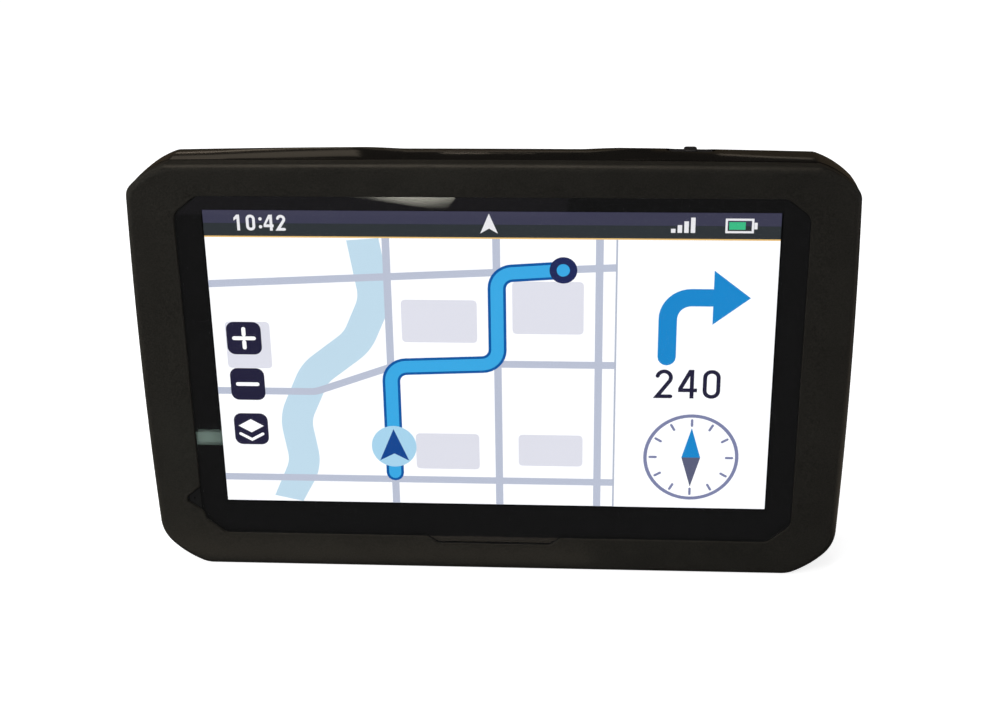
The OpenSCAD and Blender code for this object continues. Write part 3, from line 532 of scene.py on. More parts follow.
def solder_mask(name, cell_size=3.2):
    """Green board with faint tracks under its mask."""
    n = Nodes(name)
    sockets = {"Scale": 1 / (cell_size * MM)}
    cells = n.add("ShaderNodeTexVoronoi", sockets, feature="DISTANCE_TO_EDGE", distance="MANHATTAN")
    n.link(n.place, cells.inputs["Vector"])
    tracks = cells.outputs["Distance"]
    n.colour(n.ramp(tracks, [(0.05, srgb(70, 150, 96)), (0.12, srgb(22, 92, 58))]))
    n.bump(tracks, 0.02)
    n.put(Roughness=0.35)
    return n.mat


def clear(name, ior, rough, smear_size=14.0):
    """Clear coated sheet with faint smears that soften its reflections."""
    n = Nodes(name)
    n.put(Base_Color=(1.0, 1.0, 1.0, 1.0), IOR=ior, Transmission_Weight=1.0)
    n.roughness(n.spread(n.noise(smear_size), rough, rough * 2.2))
    return n.mat


def film(name, colour, alpha, cloud_size=18.0):
    """Very thin clear film with a faint uneven tint."""
    n = Nodes(name)
    n.colour(n.ramp(n.noise(cloud_size), [(0.3, shade(colour, 0.8)), (0.7, shade(colour, 1.2))]))
    n.put(Alpha=alpha, Roughness=0.4, Specular_IOR_Level=0.0)
    return n.mat


def lit(name, colour, strength=1.0, variation=0.03):
    """Lit picture element: the colour is modulated by the pixel grid and a slow unevenness."""
    n = Nodes(name)
    pixel, cloud_size = 0.139, 26.0
    grid = n.math("MULTIPLY", n.wave(pixel, "X"), n.wave(pixel, "Z"))
    mixed = n.math("ADD", n.math("MULTIPLY", grid, 0.5), n.math("MULTIPLY", n.noise(cloud_size, 1.0), 0.5))
    glow = n.ramp(mixed, [(0.15, shade(colour, 1 - variation)), (0.6, shade(colour, 1 + variation))])
    n.link(glow, n.bsdf.inputs["Emission Color"])
    n.put(Base_Color=(0.004, 0.004, 0.004, 1.0), Emission_Strength=strength, Roughness=0.5,
          Specular_IOR_Level=0.0)
    return n.mat


BEZEL = moulded("bezel_soft_touch", (29, 27.5, 24), 0.42, grain=0.3, depth=0.012, mottle=0.4,
                specular=0.4, speckle=0.8)
COVER = moulded("cover_gloss", (17, 15, 12.5), 0.07, grain=6.0, depth=0.0, mottle=0.15, specular=0.5)
KEY = moulded("key_satin", (30, 29, 30), 0.42, grain=0.15, depth=0.006)
GLASS = clear("glass_clear", 1.5, 0.012)
SENSOR = film("sensor_clear", (40, 42, 46), 0.01)
# The lift stands for stray light behind the glass, which too few rays find
INK_AND_GLOW = moulded("border_ink_and_glow", (12, 12, 13), 0.5, grain=0.3, depth=0.001, mottle=0.05,
              specular=0.0, lift=0.0055)
POLARISER = moulded("panel_polariser", (12, 12, 14), 0.4, grain=0.3, depth=0.001, specular=0.1)
BOOT = moulded("boot_rubber_black", (20, 20, 20), 0.85, grain=0.4, depth=0.03, mottle=0.2, specular=0.1)
FOAM = moulded("foam_black", (20, 20, 20), 0.9, grain=0.25, depth=0.06, mottle=0.25, specular=0.1)
TIN = metal("tin_sheet", (206, 205, 200), 0.32)
SCREW = metal("screw_black_zinc", (70, 70, 72), 0.36, brush=(1, 8, 1))
GOLD = metal("contact_gold", (236, 196, 110), 0.24, brush=(1, 6, 1))
MAGNET = metal("magnet_plate", (168, 168, 172), 0.3, brush=(1, 10, 1))
FOIL = metal("pouch_foil", (178, 182, 188), 0.4, brush=(2, 1, 2), depth=0.02)
CAPSULE = metal("capsule_can", (205, 200, 184), 0.35, brush=(1, 10, 1))
NODE_LOOKS = {
    "front_bezel": BEZEL, "rear_cover": COVER, "power_key": KEY, "housing_screws": SCREW,
    "glass_gasket": FOAM, "cover_glass": GLASS, "touch_sensor": SENSOR, "dust_gasket": FOAM,
    "lcd_panel": POLARISER, "lcd_tray": TIN, "board_screws": SCREW, "shield_cans": TIN, "usb_shell": TIN,
    "card_socket": TIN, "battery": FOIL, "speaker_magnet": MAGNET, "speaker_seal": FOAM, "speaker_pad": FOAM,
    "dock_contacts": GOLD, "microphone_boot": BOOT, "microphone": CAPSULE,
    "backlight_unit": moulded("diffuser_white", (238, 238, 232), 0.5, mottle=0.03),
    "lcd_flex": ribbon_film("ribbon_lcd"), "touch_flex": ribbon_film("ribbon_touch"),
    "main_board": solder_mask("board_main"), "contact_board": solder_mask("board_contacts"),
    "gps_antenna": moulded("ceramic_tan", (206, 186, 146), 0.45, grain=0.08, mottle=0.1),
    "battery_tape": moulded("tape_white", (232, 230, 222), 0.8, mottle=0.05),
    "speaker_mesh": woven("dust_mesh", (26, 26, 26), 0.32),
}
PLAIN_LOOKS = {
    "mid_frame": ("frame_grey", (76, 78, 82), 0.55),
    "ribbon_connectors": ("nylon_cream", (224, 218, 198), 0.5),
    "battery_plug": ("nylon_white", (236, 234, 224), 0.5),
    "dock_connector": ("nylon_dock", (220, 214, 196), 0.5),
    "usb_tongue": ("tongue_black", (26, 26, 27), 0.45),
    "battery_leads": ("lead_red_skin", (190, 26, 20), 0.45),
    "speaker_basket": ("basket_black", (46, 46, 48), 0.5),
    "speaker_diaphragm": ("film_black", (28, 28, 29), 0.35),
    "speaker_leads": ("lead_black_skin", (28, 28, 30), 0.45),
    "microphone_leads": ("lead_mic_skin", (28, 28, 30), 0.45),
    "power_switch": ("switch_black", (34, 34, 36), 0.5),
    "switch_plunger": ("plunger_ivory", (212, 206, 190), 0.5),
}
for node, (name, colour, rough) in PLAIN_LOOKS.items():
    NODE_LOOKS[node] = moulded(name, colour, rough)
for node, look in NODE_LOOKS.items():
    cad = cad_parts[node]
    cad.data.materials.clear()
    cad.data.materials.append(look)


# Front bezel

def build_bezel():
    pocket_gap, pocket_r, rib_wall, rib_r = 0.2, 2, 1.0, 3
    boss_r, pilot_r, pilot_roof = 2.5, 0.8, 0.6
    boot_x, boot_half = -66.7, 2.6
    plate_y = FRONT_Y + BEZEL_PLATE

    def dish_ring(t):
        """Ring of the dished face, from the rounded edge at 0 to the opening at 1."""
        sides = (BODY_W / 2 - OPEN_X, BODY_H - OPEN_TOP, OPEN_BOTTOM)
        drawn = [BEZEL_EDGE_R + (d - BEZEL_EDGE_R) * t for d in sides]
        return ring(FRONT_Y + DISH * t ** 1.5, *drawn, BEZEL_EDGE_R)

    face = [dish_ring(t) for t in (1.0, 0.8, 0.6, 0.4, 0.2)]
    edge = [(FRONT_Y + BEZEL_EDGE_R * (1 - cosd(a)), BEZEL_EDGE_R * (1 - sind(a))) for a in range(0, 91, 9)]
    back = [(PARTING_Y - EDGE_BREAK, 0.0), (PARTING_Y - EDGE_MID, EDGE_MID), (PARTING_Y, EDGE_BREAK)]
    shell = loft("front_bezel_skin", face + [inset_ring(y, d) for y, d in edge + back])
    pocket = glass_pts(pocket_gap)
    hollow = loft("hollow", [inset_ring(y, BEZEL_WALL, 1) for y in (plate_y, PARTING_Y + 1)])
    rib = loft("rib", plate(round_poly(grow_poly(pocket, rib_wall), rib_r), FRONT_Y, BEZEL_DEPTH))
    carve(hollow, [(CUT, rib)])
    lip = [(FRONT_Y - 1, LIP_R)]
    lip += [(FRONT_Y + DISH + LIP_R * (1 - cosd(a)), LIP_R * (1 - sind(a))) for a in range(0, 91, 15)]
    lip += [(LIP_Y + 0.1, 0.0)]
    boot = rect_pts(boot_x, MIC_Z - boot_half, -GLASS_X, MIC_Z + boot_half)
    bosses = boss_pins(boss_r, plate_y - 0.01, FRAME_FRONT_Y)
    pilots = boss_pins(pilot_r, LIP_Y + pilot_roof, FRAME_FRONT_Y + 1)
    return carve(shell, [
        (CUT, hollow),
        (JOIN, lofts("bosses", bosses)),
        (CUT, loft("pocket", plate(round_poly(pocket, pocket_r), LIP_Y, BEZEL_DEPTH))),
        (CUT, loft("opening", [opening_ring(y, g) for y, g in lip])),
        (CUT, loft("boot_pocket", plate(boot, LIP_Y, BEZEL_DEPTH))),
        (CUT, lofts("pilots", pilots)),
    ])


def build_boot_face():
    """Thin rubber face that the microphone looks through, between the bezel's lip and the glass."""
    left, half, thick = -66.4, 3.0, 0.18
    port_x, port_r = -62.3, 0.3
    outline = rect_pts(left, NOTCH_Z - half, -OPEN_X - 0.1, NOTCH_Z + half)
    face = loft("microphone_boot_face", plate(outline, LIP_Y + 0.01, thick))
    port = pin(port_x, NOTCH_Z, port_r, LIP_Y - 1, LIP_Y + 1, 24)
    return carve(face, [(CUT, loft("port", port))])


# Rear cover

def cover_shell():
    """Outside of the cover: the parting groove's floor, its far edge, the crowned wall and the pillow."""
    wall_rings, pillow_steps = 12, 30
    wall_y = GROOVE_Y + EDGE_BREAK
    rings = [inset_ring(PARTING_Y, GROOVE_D), inset_ring(GROOVE_Y - 0.1, GROOVE_D)]
    for y, d in ((0, 0.7), (0.01, EDGE_BREAK), (0.03, EDGE_MID), (EDGE_BREAK, 0.0)):
        d += CROWN
        rings.append(ring(GROOVE_Y + y, d, d - REAR_LIFT, d, d))
    for i in range(1, wall_rings):
        t = i / wall_rings
        rings.append(pillow_ring(wall_y + (PILLOW_Y - wall_y) * t, REAR_Y, CROWN * (1 - 2 * t) ** 2))
    rings += [pillow_ring(y, REAR_Y, CROWN) for y in pillow_depths(REAR_Y, pillow_steps)]
    return loft("rear_cover_skin", rings)


def cover_hollow():
    """Inside of the cover, less the screw bosses, the dock, the scoop's ledge and the key's seat."""
    boss_r, pillow_steps = 3.0, 10
    dock_wall, dock_floor, dock_depth = 2.4, 1.6, 6.4
    ledge_w, ledge_h = 64, 3.2
    seat_w, seat_d, seat_z = 13, 6.8, 82.9
    rings = [inset_ring(PARTING_Y - 1, WALL, 1)]
    rings += [pillow_ring(y, INNER_Y, WALL, 1) for y in pillow_depths(INNER_Y, pillow_steps)]
    hollow = loft("hollow", rings)
    dock = middle_pts(0, DOCK_Z, DOCK_W + 2 * dock_wall, DOCK_H + 2 * dock_wall)
    kept = boss_pins(boss_r, FRAME_BACK_Y, REAR_Y)
    kept += [plate(dock, DOCK_Y - dock_floor, dock_depth)]
    kept += [upright(middle_pts(0, 0, ledge_w, BODY_D), BODY_H - ledge_h, BODY_H)]
    seat = upright(slot_pts(KEY_X, KEY_Y, seat_w, seat_d), seat_z, BODY_H + 2)
    return carve(hollow, [(CUT, lofts("kept", kept)), (CUT, loft("key_seat", seat))])


def cover_tongue():
    """Rim that centres the cover in the bezel, cut away round the screws."""
    outside, inside, ear_r = 1.65, 2.6, 3.1
    ends = (PARTING_Y - 2, GROOVE_Y + 2)
    tongue = loft("tongue", [inset_ring(y, outside, 1) for y in (PARTING_Y - 1, GROOVE_Y + 1)])
    core = loft("core", [inset_ring(y, inside, 1) for y in ends])
    ears = lofts("ears", boss_pins(ear_r, *ends))
    return carve(tongue, [(CUT, core), (CUT, ears)])


def scoop_tool():
    """Shallow scoop in the top edge, with soft ends and a crowned floor."""
    floor, brim, above = 86.35, 87.6, 96
    floor_half, ramp_half, half = 17.8, 31.8, 56
    soft, crisp = 20, 1
    ring_count, ring_step = 42, 0.5
    right = [(floor_half, floor), (ramp_half, brim), (half, brim), (half, above)]
    outline = [(-x, z) for x, z in (right[2], right[1], right[0])] + right + [(-half, above)]
    outline = round_poly(outline, [crisp] + [soft] * 4 + [crisp] * 3, 14)
    middle, reach = (GROOVE_Y + PILLOW_Y) / 2, (PILLOW_Y - GROOVE_Y) / 2
    rings = []
    for i in range(ring_count):
        y = PARTING_Y - 1 + ring_step * i
        sink = CROWN * min(9.0, ((y - middle) / reach) ** 2)
        rings.append(flat_ring(y, [(p[0], p[1] - sink) for p in outline]))
    return loft("scoop", rings)


def dock_tools():
    """The cradle's recess with its softened brim, and the slots for the cradle's hooks in its walls."""
    hook_y, hook_h, hook_depth = DOCK_Y + 0.8, 2.4, 1.8
    outline = middle_pts(0, DOCK_Z, DOCK_W, DOCK_H)
    brim = [(DOCK_Y, 0, 3), (REAR_Y - 0.8, 0.2, 3), (REAR_Y - 0.3, 0.45, 3.2), (REAR_Y + 0.2, 1.2, 4)]
    recess = [flat_ring(y, round_poly(grow_poly(outline, g), r, 8)) for y, g, r in brim]
    places = ((-10.5, 68.2, 6), (10.5, 68.2, 6), (0, 37.8, 10))
    hooks = [plate(middle_pts(x, z, w, hook_h), hook_y, hook_depth) for x, z, w in places]
    return [loft("dock", recess), lofts("hooks", hooks)]


def grille_tool():
    """Slots that fill a circle over the speaker, each opened out a little at the outer face."""
    grille_r, pitch, slot_h, rows = 11.0, 3.0, 1.5, 3
    depths = ((INNER_Y - 1, 0), (REAR_Y - 0.3, 0), (REAR_Y - 0.12, 0.06), (REAR_Y + 0.1, 0.3))
    slots = []
    for i in range(-rows, rows + 1):
        z = pitch * i
        w = 2 * math.sqrt(grille_r ** 2 - z * z)
        outlines = [(y, slot_pts(0, SPEAKER_Z + z, w + 2 * g, slot_h + 2 * g)) for y, g in depths]
        slots.append([flat_ring(y, pts) for y, pts in outlines])
    return lofts("slots", slots)


def contact_tool():
    hole_r = 0.95
    return lofts("contacts", [pin(x, CONTACT_Z, hole_r, DOCK_Y - 2.6, DOCK_Y + 1) for x in CONTACTS])


def well_tools():
    """Holes for the screws' shanks and wells for their heads."""
    shank_r, head_r = 1.2, 2.05
    shanks = boss_pins(shank_r, FRAME_BACK_Y - 1, HEAD_Y + 1)
    heads = boss_pins(head_r, HEAD_Y, REAR_Y + 1)
    return [lofts("wells", shanks), lofts("heads", heads)]


def port_tools():
    """USB inlet with its recess, card slot, and the key's hole in the top."""
    def inlet(name, h, w, r, end):
        outline = round_poly(middle_pts(USB_Y, MID_Z, h, w), r)
        return loft(name, [[(x, p[0], p[1]) for p in outline] for x in (-BODY_W / 2 - 1, end)])

    card_w, card_h, card_reach = 12.4, 1.6, 8
    hole_w, hole_d, hole_z = 9.6, 4.0, 80.8
    card = plate(middle_pts(BODY_W / 2, MID_Z, card_reach, card_w), CARD_Y - card_h / 2, card_h)
    hole = upright(slot_pts(KEY_X, KEY_Y, hole_w, hole_d), hole_z, BODY_H + 2)
    return [
        inlet("usb_recess", 5.2, 9.4, 1.2, -69.25),
        inlet("usb_hole", 4.3, 8.1, 0.8, -66.45),
        loft("card_slot", card),
        loft("key_hole", hole),
    ]


def build_cover():
    steps = [(CUT, cover_hollow()), (JOIN, cover_tongue())]
    tools = [scoop_tool(), *dock_tools(), grille_tool(), contact_tool(), *well_tools(), *port_tools()]
    return carve(cover_shell(), steps + [(CUT, tool) for tool in tools])


# Power key

def build_key():
    base_z, edge_r = 82.0, 0.3
    cap_w, cap_d, cap_top = 9.0, 3.4, 86.55
    rib_w, rib_d, rib_bottom, rib_top, rib_r = 2.5, 3.0, 82.4, 87.2, 0.6
    flange_w, flange_d, flange_top = 10.8, 5.2, 82.8
    stem_w, stem_d, stem_bottom, stem_top = 2.8, 1.6, 79.5, 82.2

    def rise(z0, z1):
        """Heights and insets of a wall with a rounded top edge."""
        edge = [(z1 - edge_r + edge_r * sind(a), edge_r * (1 - cosd(a))) for a in range(0, 91, 15)]
        return [(z0, 0.0)] + edge

    def cap_pts(d):
        return slot_pts(KEY_X, KEY_Y, cap_w - 2 * d, cap_d - 2 * d)

    def rib_pts(d):
        return round_poly(middle_pts(KEY_X, KEY_Y, rib_w - 2 * d, rib_d - 2 * d), rib_r - 0.8 * d)

    cap = [upright_ring(z, cap_pts(d)) for z, d in rise(base_z, cap_top)]
    rib = [upright_ring(z, rib_pts(d)) for z, d in rise(rib_bottom, rib_top)]
    flange = upright(slot_pts(KEY_X, KEY_Y, flange_w, flange_d), base_z, flange_top)
    stem = upright(middle_pts(KEY_X, KEY_Y, stem_w, stem_d), stem_bottom, stem_top)
    return carve(loft("power_key_cap", cap), [
        (JOIN, loft("rib", rib)),
        (JOIN, loft("flange", flange)),
        (JOIN, loft("stem", stem)),
    ])


# Housing screws

def build_screws():
    tip_y, shank_r, head_r = -8.65, 0.75, 1.8
    arm, arm_half, recess_depth = 1.15, 0.24, 1.0
    long_taper, wide_taper = 0.45, 0.8
    dome = [(0.0, 1.7), (0.1, head_r), (0.9, head_r), (1.2, 1.66), (1.4, 1.4), (1.5, 0.9)]
    profile = [(tip_y, shank_r), (HEAD_Y, shank_r)] + [(HEAD_Y + y, r) for y, r in dome]
    arms = []
    step = [(arm, arm_half), (arm_half, arm_half), (arm_half, arm)]
    for _ in range(4):
        arms += step
        step = [(-q, p) for p, q in step]

    def taper(p, q):
        return (long_taper * p, wide_taper * q) if abs(p) > abs(q) else (wide_taper * p, long_taper * q)

    def cross(x, z):
        floor = [(x + u, z + v) for u, v in (taper(p, q) for p, q in arms)]
        return [flat_ring(HEAD_Y + 1.5 - recess_depth, floor),
                flat_ring(HEAD_Y + 2, [(x + p, z + q) for p, q in arms])]

    screws = [[flat_ring(y, circle(x, z, r)) for y, r in profile] for x, z in BOSSES]
    crosses = lofts("crosses", [cross(x, z) for x, z in BOSSES])
    return carve(lofts("housing_screw_set", screws), [(CUT, crosses)])


bezel = dress(soften(build_bezel()), BEZEL)
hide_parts("front_bezel")
dress(build_boot_face(), BOOT)
cover = dress(soften(build_cover()), COVER)
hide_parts("rear_cover")
key = dress(soften(build_key()), KEY, body="key")
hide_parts("power_key")
screws = dress(soften(build_screws()), SCREW)
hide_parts("housing_screws")


# Touch sensor: a clear sheet whose faces stay a hair off the glass, so that light leaves the glass into air

SENSOR_GAP = 0.03


def build_sensor():
    low, high = ([c / MM for c in corner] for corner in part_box("touch_sensor"))
    outline = rect_pts(low[0], low[2], high[0], high[2])
    return loft("touch_sensor_film", plate(outline, low[1] + SENSOR_GAP, high[1] - low[1] - 2 * SENSOR_GAP))


sensor = dress(build_sensor(), SENSOR)
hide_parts("touch_sensor")


# Display: flat lit pieces on the face of the panel, in mm from the lower left of the picture

PICTURE_X0, PICTURE_X1, PICTURE_Z0, PICTURE_Z1 = -55.86, 55.48, 13.74, 76.89
PICTURE_W, PICTURE_H = PICTURE_X1 - PICTURE_X0, PICTURE_Z1 - PICTURE_Z0
LAYER = 0.02
BAR_H, BAR_LINE = 5.2, 0.28
BAR_Z = PICTURE_H - BAR_H
MAP_TOP = BAR_Z - BAR_LINE
GUIDE_X = 80.5
LIT_WHITE = lit("lit_ground", (251, 252, 255), 1.2, 0.015)
LIT_DARK = lit("lit_dark", (38, 36, 62), variation=0.06)


def flat_piece(name, shapes, layer, material):
    """Thin plates on the panel. A shape is a list of loops: its outline and any holes."""
    back = PANEL_Y - layer * LAYER
    front = back - LAYER
    verts, faces = [], []
    for loops in shapes:
        base = len(verts)
        flat = [(PICTURE_X0 + p[0], PICTURE_Z0 + p[1]) for loop in loops for p in loop]
        count = len(flat)
        verts += [(x, front, z) for x, z in flat] + [(x, back, z) for x, z in flat]
        for t in tessellate_polygon([[Vector((p[0], p[1], 0)) for p in loop] for loop in loops]):
            a, b, c = (flat[i] for i in t)
            if (b[0] - a[0]) * (c[1] - a[1]) - (b[1] - a[1]) * (c[0] - a[0]) < 0:
                t = t[::-1]
            faces.append(tuple(base + i for i in t))
            faces.append(tuple(base + count + i for i in reversed(t)))
        start = 0
        for k, loop in enumerate(loops):
            n = len(loop)
            area = sum(loop[i - 1][0] * loop[i][1] - loop[i][0] * loop[i - 1][1] for i in range(n))
            flip = (area < 0) == (k == 0)
            for i in range(n):
                a, b = base + start + i, base + start + (i + 1) % n
                quad = (a, a + count, b + count, b)
                faces.append(quad[::-1] if flip else quad)
            start += n
    return dress(mesh_object(name, verts, faces), material)


def lit_piece(name, shapes, layer, colour):
    return flat_piece("screen_" + name, shapes, layer, lit("lit_" + name, colour))


def stroke(points, w, round_ends=True):
    """Outline of a line of width w with round or square ends."""
    pts = vectors(points)
    left, right = [], []
    for i, p in enumerate(pts):
        u = unit(p - pts[i - 1]) if i else unit(pts[1] - p)
        v = unit(pts[i + 1] - p) if i < len(pts) - 1 else u
        a, b = np.array([-u[1], u[0]]), np.array([-v[1], v[0]])
        off = (a + b) / (1 + a @ b) * w / 2
        left.append(p + off)
        right.append(p - off)

    def cap(p, d):
        s = math.degrees(math.atan2(d[1], d[0]))
        return [p + w / 2 * turned(s - 90 + 180 * i / 8) for i in range(1, 8)]

    if not round_ends:
        return right + left[::-1]
    return right + cap(pts[-1], unit(pts[-1] - pts[-2])) + left[::-1] + cap(pts[0], unit(pts[0] - pts[1]))


def bend(points, r, n=6):
    """Polyline with its inner corners rounded."""
    pts = vectors(points)
    out = [pts[0]]
    for a, b, c in zip(pts, pts[1:], pts[2:]):
        out += round_vertex(a, b, c, r, n)
    return out + [pts[-1]]


def digit(d, x, z, h, w):
    """Plain numeral of height h with strokes of width w, as shapes."""
    s = 0.56 * h
    if d == "0":
        middle = (x + s / 2, z + h / 2)
        inner_w = s - 2 * w
        outer = round_poly(middle_pts(*middle, s, h), s * 0.48, 6)
        return [[outer, round_poly(middle_pts(*middle, inner_w, h - 2 * w), inner_w * 0.48, 6)]]
    if d == "1":
        stem, flag = x + s * 0.36, x + s * 0.02
        return [[[(stem, z), (stem + w, z), (stem + w, z + h), (stem, z + h), (flag, z + h * 0.8),
                  (flag, z + h * 0.62), (stem, z + h * 0.76)]]]
    if d == "2":
        r = s / 2 - w / 2
        top = [(x + s / 2 + r * cosd(a), z + h - w / 2 - r + r * sind(a)) for a in range(165, -46, -15)]
        return [[stroke(top + [(x + w / 2, z + w / 2), (x + s - w / 2, z + w / 2)], w)]]
    if d == "4":
        stem, left, right = x + s * 0.62, x - s * 0.04, x + s * 1.04
        low, high = z + h * 0.22, z + h * 0.22 + w
        outer = [(stem, z), (stem + w, z), (stem + w, low), (right, low), (right, high), (stem + w, high),
                 (stem + w, z + h), (stem - w * 0.3, z + h), (left, high), (left, low), (stem, low)]
        return [[outer, [(x + s * 0.22, high), (stem, z + h * 0.78), (stem, high)]]]
    raise ValueError(d)


def numerals(text, x, z, h, w, step=0.76):
    shapes = []
    for c in text:
        if c == ":":
            shapes += [[circle(x + w * 0.7, z + h * k, w * 0.62, 16)] for k in (0.24, 0.74)]
            x += h * 0.34
        else:
            shapes += digit(c, x, z, h, w)
            x += h * step
    return shapes


def build_ground():
    """White ground, and the status bar in two tones over a thin line."""
    flat_piece("screen_ground", [[rect_pts(0, 0, PICTURE_W, MAP_TOP)]], 0, LIT_WHITE)
    middle = BAR_Z + BAR_H / 2
    bands = (("upper", middle, PICTURE_H, (64, 64, 85)), ("lower", BAR_Z, middle, (50, 55, 59)),
             ("line", MAP_TOP, BAR_Z, (240, 196, 120)))
    for name, z0, z1, colour in bands:
        lit_piece("bar_" + name, [[rect_pts(0, z0, PICTURE_W, z1)]], 0, colour)


def build_map():
    """River, building lots, lanes and the route between the present place and the goal."""
    first_x, second_x, third_x, street_z, lane_w = 35.5, 57, 77, 31.5, 1.5
    goal = (70, 51.4)
    river = bend([(13, 0), (17, 9), (15.5, 19), (20, 29), (29, 36), (33, 45), (31, MAP_TOP)], 9, 10)
    water = [(p[0], max(0, min(MAP_TOP, p[1]))) for p in stroke(river, 6.4, round_ends=False)]
    lit_piece("water", [[water]], 1, (202, 230, 247))
    lots = []
    for x, z, w, h in ((38, 36, 15, 9), (40, 8, 13, 8), (60, 38, 14, 11), (61, 9, 13, 7), (2.5, 30, 9, 10)):
        lots.append([round_poly(rect_pts(x, z, x + w, z + h), 0.8, 3)])
    lit_piece("lots", lots, 1, (234, 235, 246))
    up = [[(x, 0), (x, MAP_TOP)] for x in (first_x, second_x, third_x)]
    lit_piece("lanes_up", [[stroke(c, lane_w, round_ends=False)] for c in up], 2, (196, 203, 222))
    across = [bend([(0, 25), (20, 25), (38, street_z), (GUIDE_X, street_z)], 6)]
    across += [[(0, 5.5), (GUIDE_X, 5.5)], [(0, 48), (GUIDE_X, 52)]]
    lit_piece("lanes_across", [[stroke(c, lane_w, round_ends=False)] for c in across], 3, (196, 203, 222))
    route = bend([(first_x, 7), (first_x, 30.6), (second_x, street_z), (second_x, 50.5), goal], 3.2, 8)
    lit_piece("route_edge", [[stroke(route, 3.6)]], 4, (16, 92, 168))
    lit_piece("route", [[stroke(route, 2.5)]], 5, (62, 176, 238))
    lit_piece("goal", [[circle(*goal, 2.7), circle(*goal, 1.3)[::-1]]], 6, (36, 44, 92))
    lit_piece("place_disc", [[circle(first_x, 13, 4.6)]], 6, (176, 222, 248))
    pointer = [(first_x, 16.9), (first_x - 3, 9.8), (first_x, 11.4), (first_x + 3, 9.8)]
    lit_piece("place", [[pointer]], 7, (24, 74, 150))


def build_guide():
    """Panel at the right: the next turn, the distance to it and a compass dial."""
    edge_w = 0.35
    flat_piece("screen_panel", [[rect_pts(GUIDE_X, 0, PICTURE_W, MAP_TOP)]], 4, LIT_WHITE)
    lit_piece("panel_edge", [[rect_pts(GUIDE_X - edge_w, 0, GUIDE_X, MAP_TOP)]], 4, (188, 196, 214))
    mid = (GUIDE_X + PICTURE_W) / 2
    turn_z = 46
    shaft = bend([(mid - 5.5, 33.5), (mid - 5.5, turn_z), (mid + 3, turn_z)], 4.5, 10)
    head = [(mid + 3.2, turn_z + 5.6), (mid + 3.2, turn_z - 5.6), (mid + 10.4, turn_z)]
    lit_piece("turn", [[stroke(shaft, 3.6)], [head]], 5, (30, 142, 214))
    flat_piece("screen_distance", numerals("240", mid - 7.6, 24.6, 6.2, 0.8), 5, LIT_DARK)
    dial_z, dial_r, dial_hole_r = 11.5, 9.6, 8.9
    tick_in, tick_out, tick_w = 7.1, 8.3, 0.5
    needle_half, needle_reach = 1.9, 6.6
    dial = [[circle(mid, dial_z, dial_r, 72), circle(mid, dial_z, dial_hole_r, 72)[::-1]]]
    for a in range(0, 360, 30):
        tick = [(mid + r * cosd(a), dial_z + r * sind(a)) for r in (tick_in, tick_out)]
        dial.append([stroke(tick, tick_w)])
    lit_piece("dial", dial, 5, (132, 138, 176))
    west, east = (mid - needle_half, dial_z), (mid + needle_half, dial_z)
    lit_piece("needle", [[[(mid, dial_z + needle_reach), west, east]]], 6, (30, 142, 214))
    lit_piece("needle_tail", [[[west, (mid, dial_z - needle_reach), east]]], 6, (96, 100, 128))


def build_tools():
    """Three buttons over the map: closer, farther and layers."""
    x, layers_z, farther_z, closer_z = 6.2, 16.5, 26.5, 36.5
    sign_half, sign_w = 2, 0.8
    buttons = [[round_poly(middle_pts(x, z, 7, 7), 1.6, 5)] for z in (layers_z, farther_z, closer_z)]
    flat_piece("screen_tools", buttons, 6, LIT_DARK)
    marks = [[stroke([(x - sign_half, z), (x + sign_half, z)], sign_w)] for z in (closer_z, farther_z)]
    for way in (1, -1):
        marks.append([stroke([(x, closer_z + way * 0.8), (x, closer_z + way * sign_half)], sign_w)])
    z = layers_z
    marks.append([[(x - 2.6, z + 0.7), (x, z - 0.8), (x + 2.6, z + 0.7), (x, z + 2.2)]])
    marks.append([stroke([(x - 2.3, z - 1.1), (x, z - 2.4), (x + 2.3, z - 1.1)], 0.6)])
    flat_piece("screen_tool_marks", marks, 7, LIT_WHITE)


def build_status():
    """Clock, heading, signal and charge in the status bar."""
    shapes = numerals("10:42", 6.0, BAR_Z + 1.1, 3.2, 0.55)
    x, z = PICTURE_W / 2, BAR_Z + 2.7
    shapes += [[[(x, z + 2.1), (x - 1.7, z - 1.9), (x, z - 0.9), (x + 1.7, z - 1.9)]]]
    signal_x, signal_step, signal_w = 90.5, 1.25, 0.85
    for i in range(4):
        left = signal_x + signal_step * i
        shapes += [[rect_pts(left, BAR_Z + 1.2, left + signal_w, BAR_Z + 2.0 + 0.75 * i)]]
    cell_z = BAR_Z + 2.65
    cell = middle_pts(103.5, cell_z, 5.4, 2.9)
    shapes += [[cell, grow_poly(cell, -0.42)[::-1]], [middle_pts(106.55, cell_z, 0.6, 1.3)]]
    lit_piece("marks", shapes, 1, (244, 244, 248))
    lit_piece("charge", [[rect_pts(101.5, BAR_Z + 1.9, 104.6, BAR_Z + 3.4)]], 1, (64, 196, 140))


build_ground()
build_map()
build_guide()
build_tools()
build_status()


# Black print on the back of the glass

def build_print():
    """Flat frame between the glass's edge and the window over the picture."""
    near_y, far_y = GLASS_BACK_Y + 0.01, GLASS_BACK_Y + 0.03
    window = rect_pts(PICTURE_X0 + 0.2, PICTURE_Z0 + 0.55, PICTURE_X1 + 0.1, PICTURE_Z1 + 0.65)
    border = glass_pts(-0.3)
    loops = ((near_y, border), (far_y, border), (far_y, window), (near_y, window))
    verts = [p for y, pts in loops for p in flat_ring(y, pts)]
    faces = []
    for j in range(4):
        for i in range(4):
            here, there, k = j * 4, (j + 1) % 4 * 4, (i + 1) % 4
            faces.append((here + i, here + k, there + k, there + i))
    return face_out(mesh_object("glass_print", verts, faces))


# The print's black is lifted by a painted glow that stands in for stray light behind the glass
dress(build_print(), INK_AND_GLOW)


# Stage, light and camera

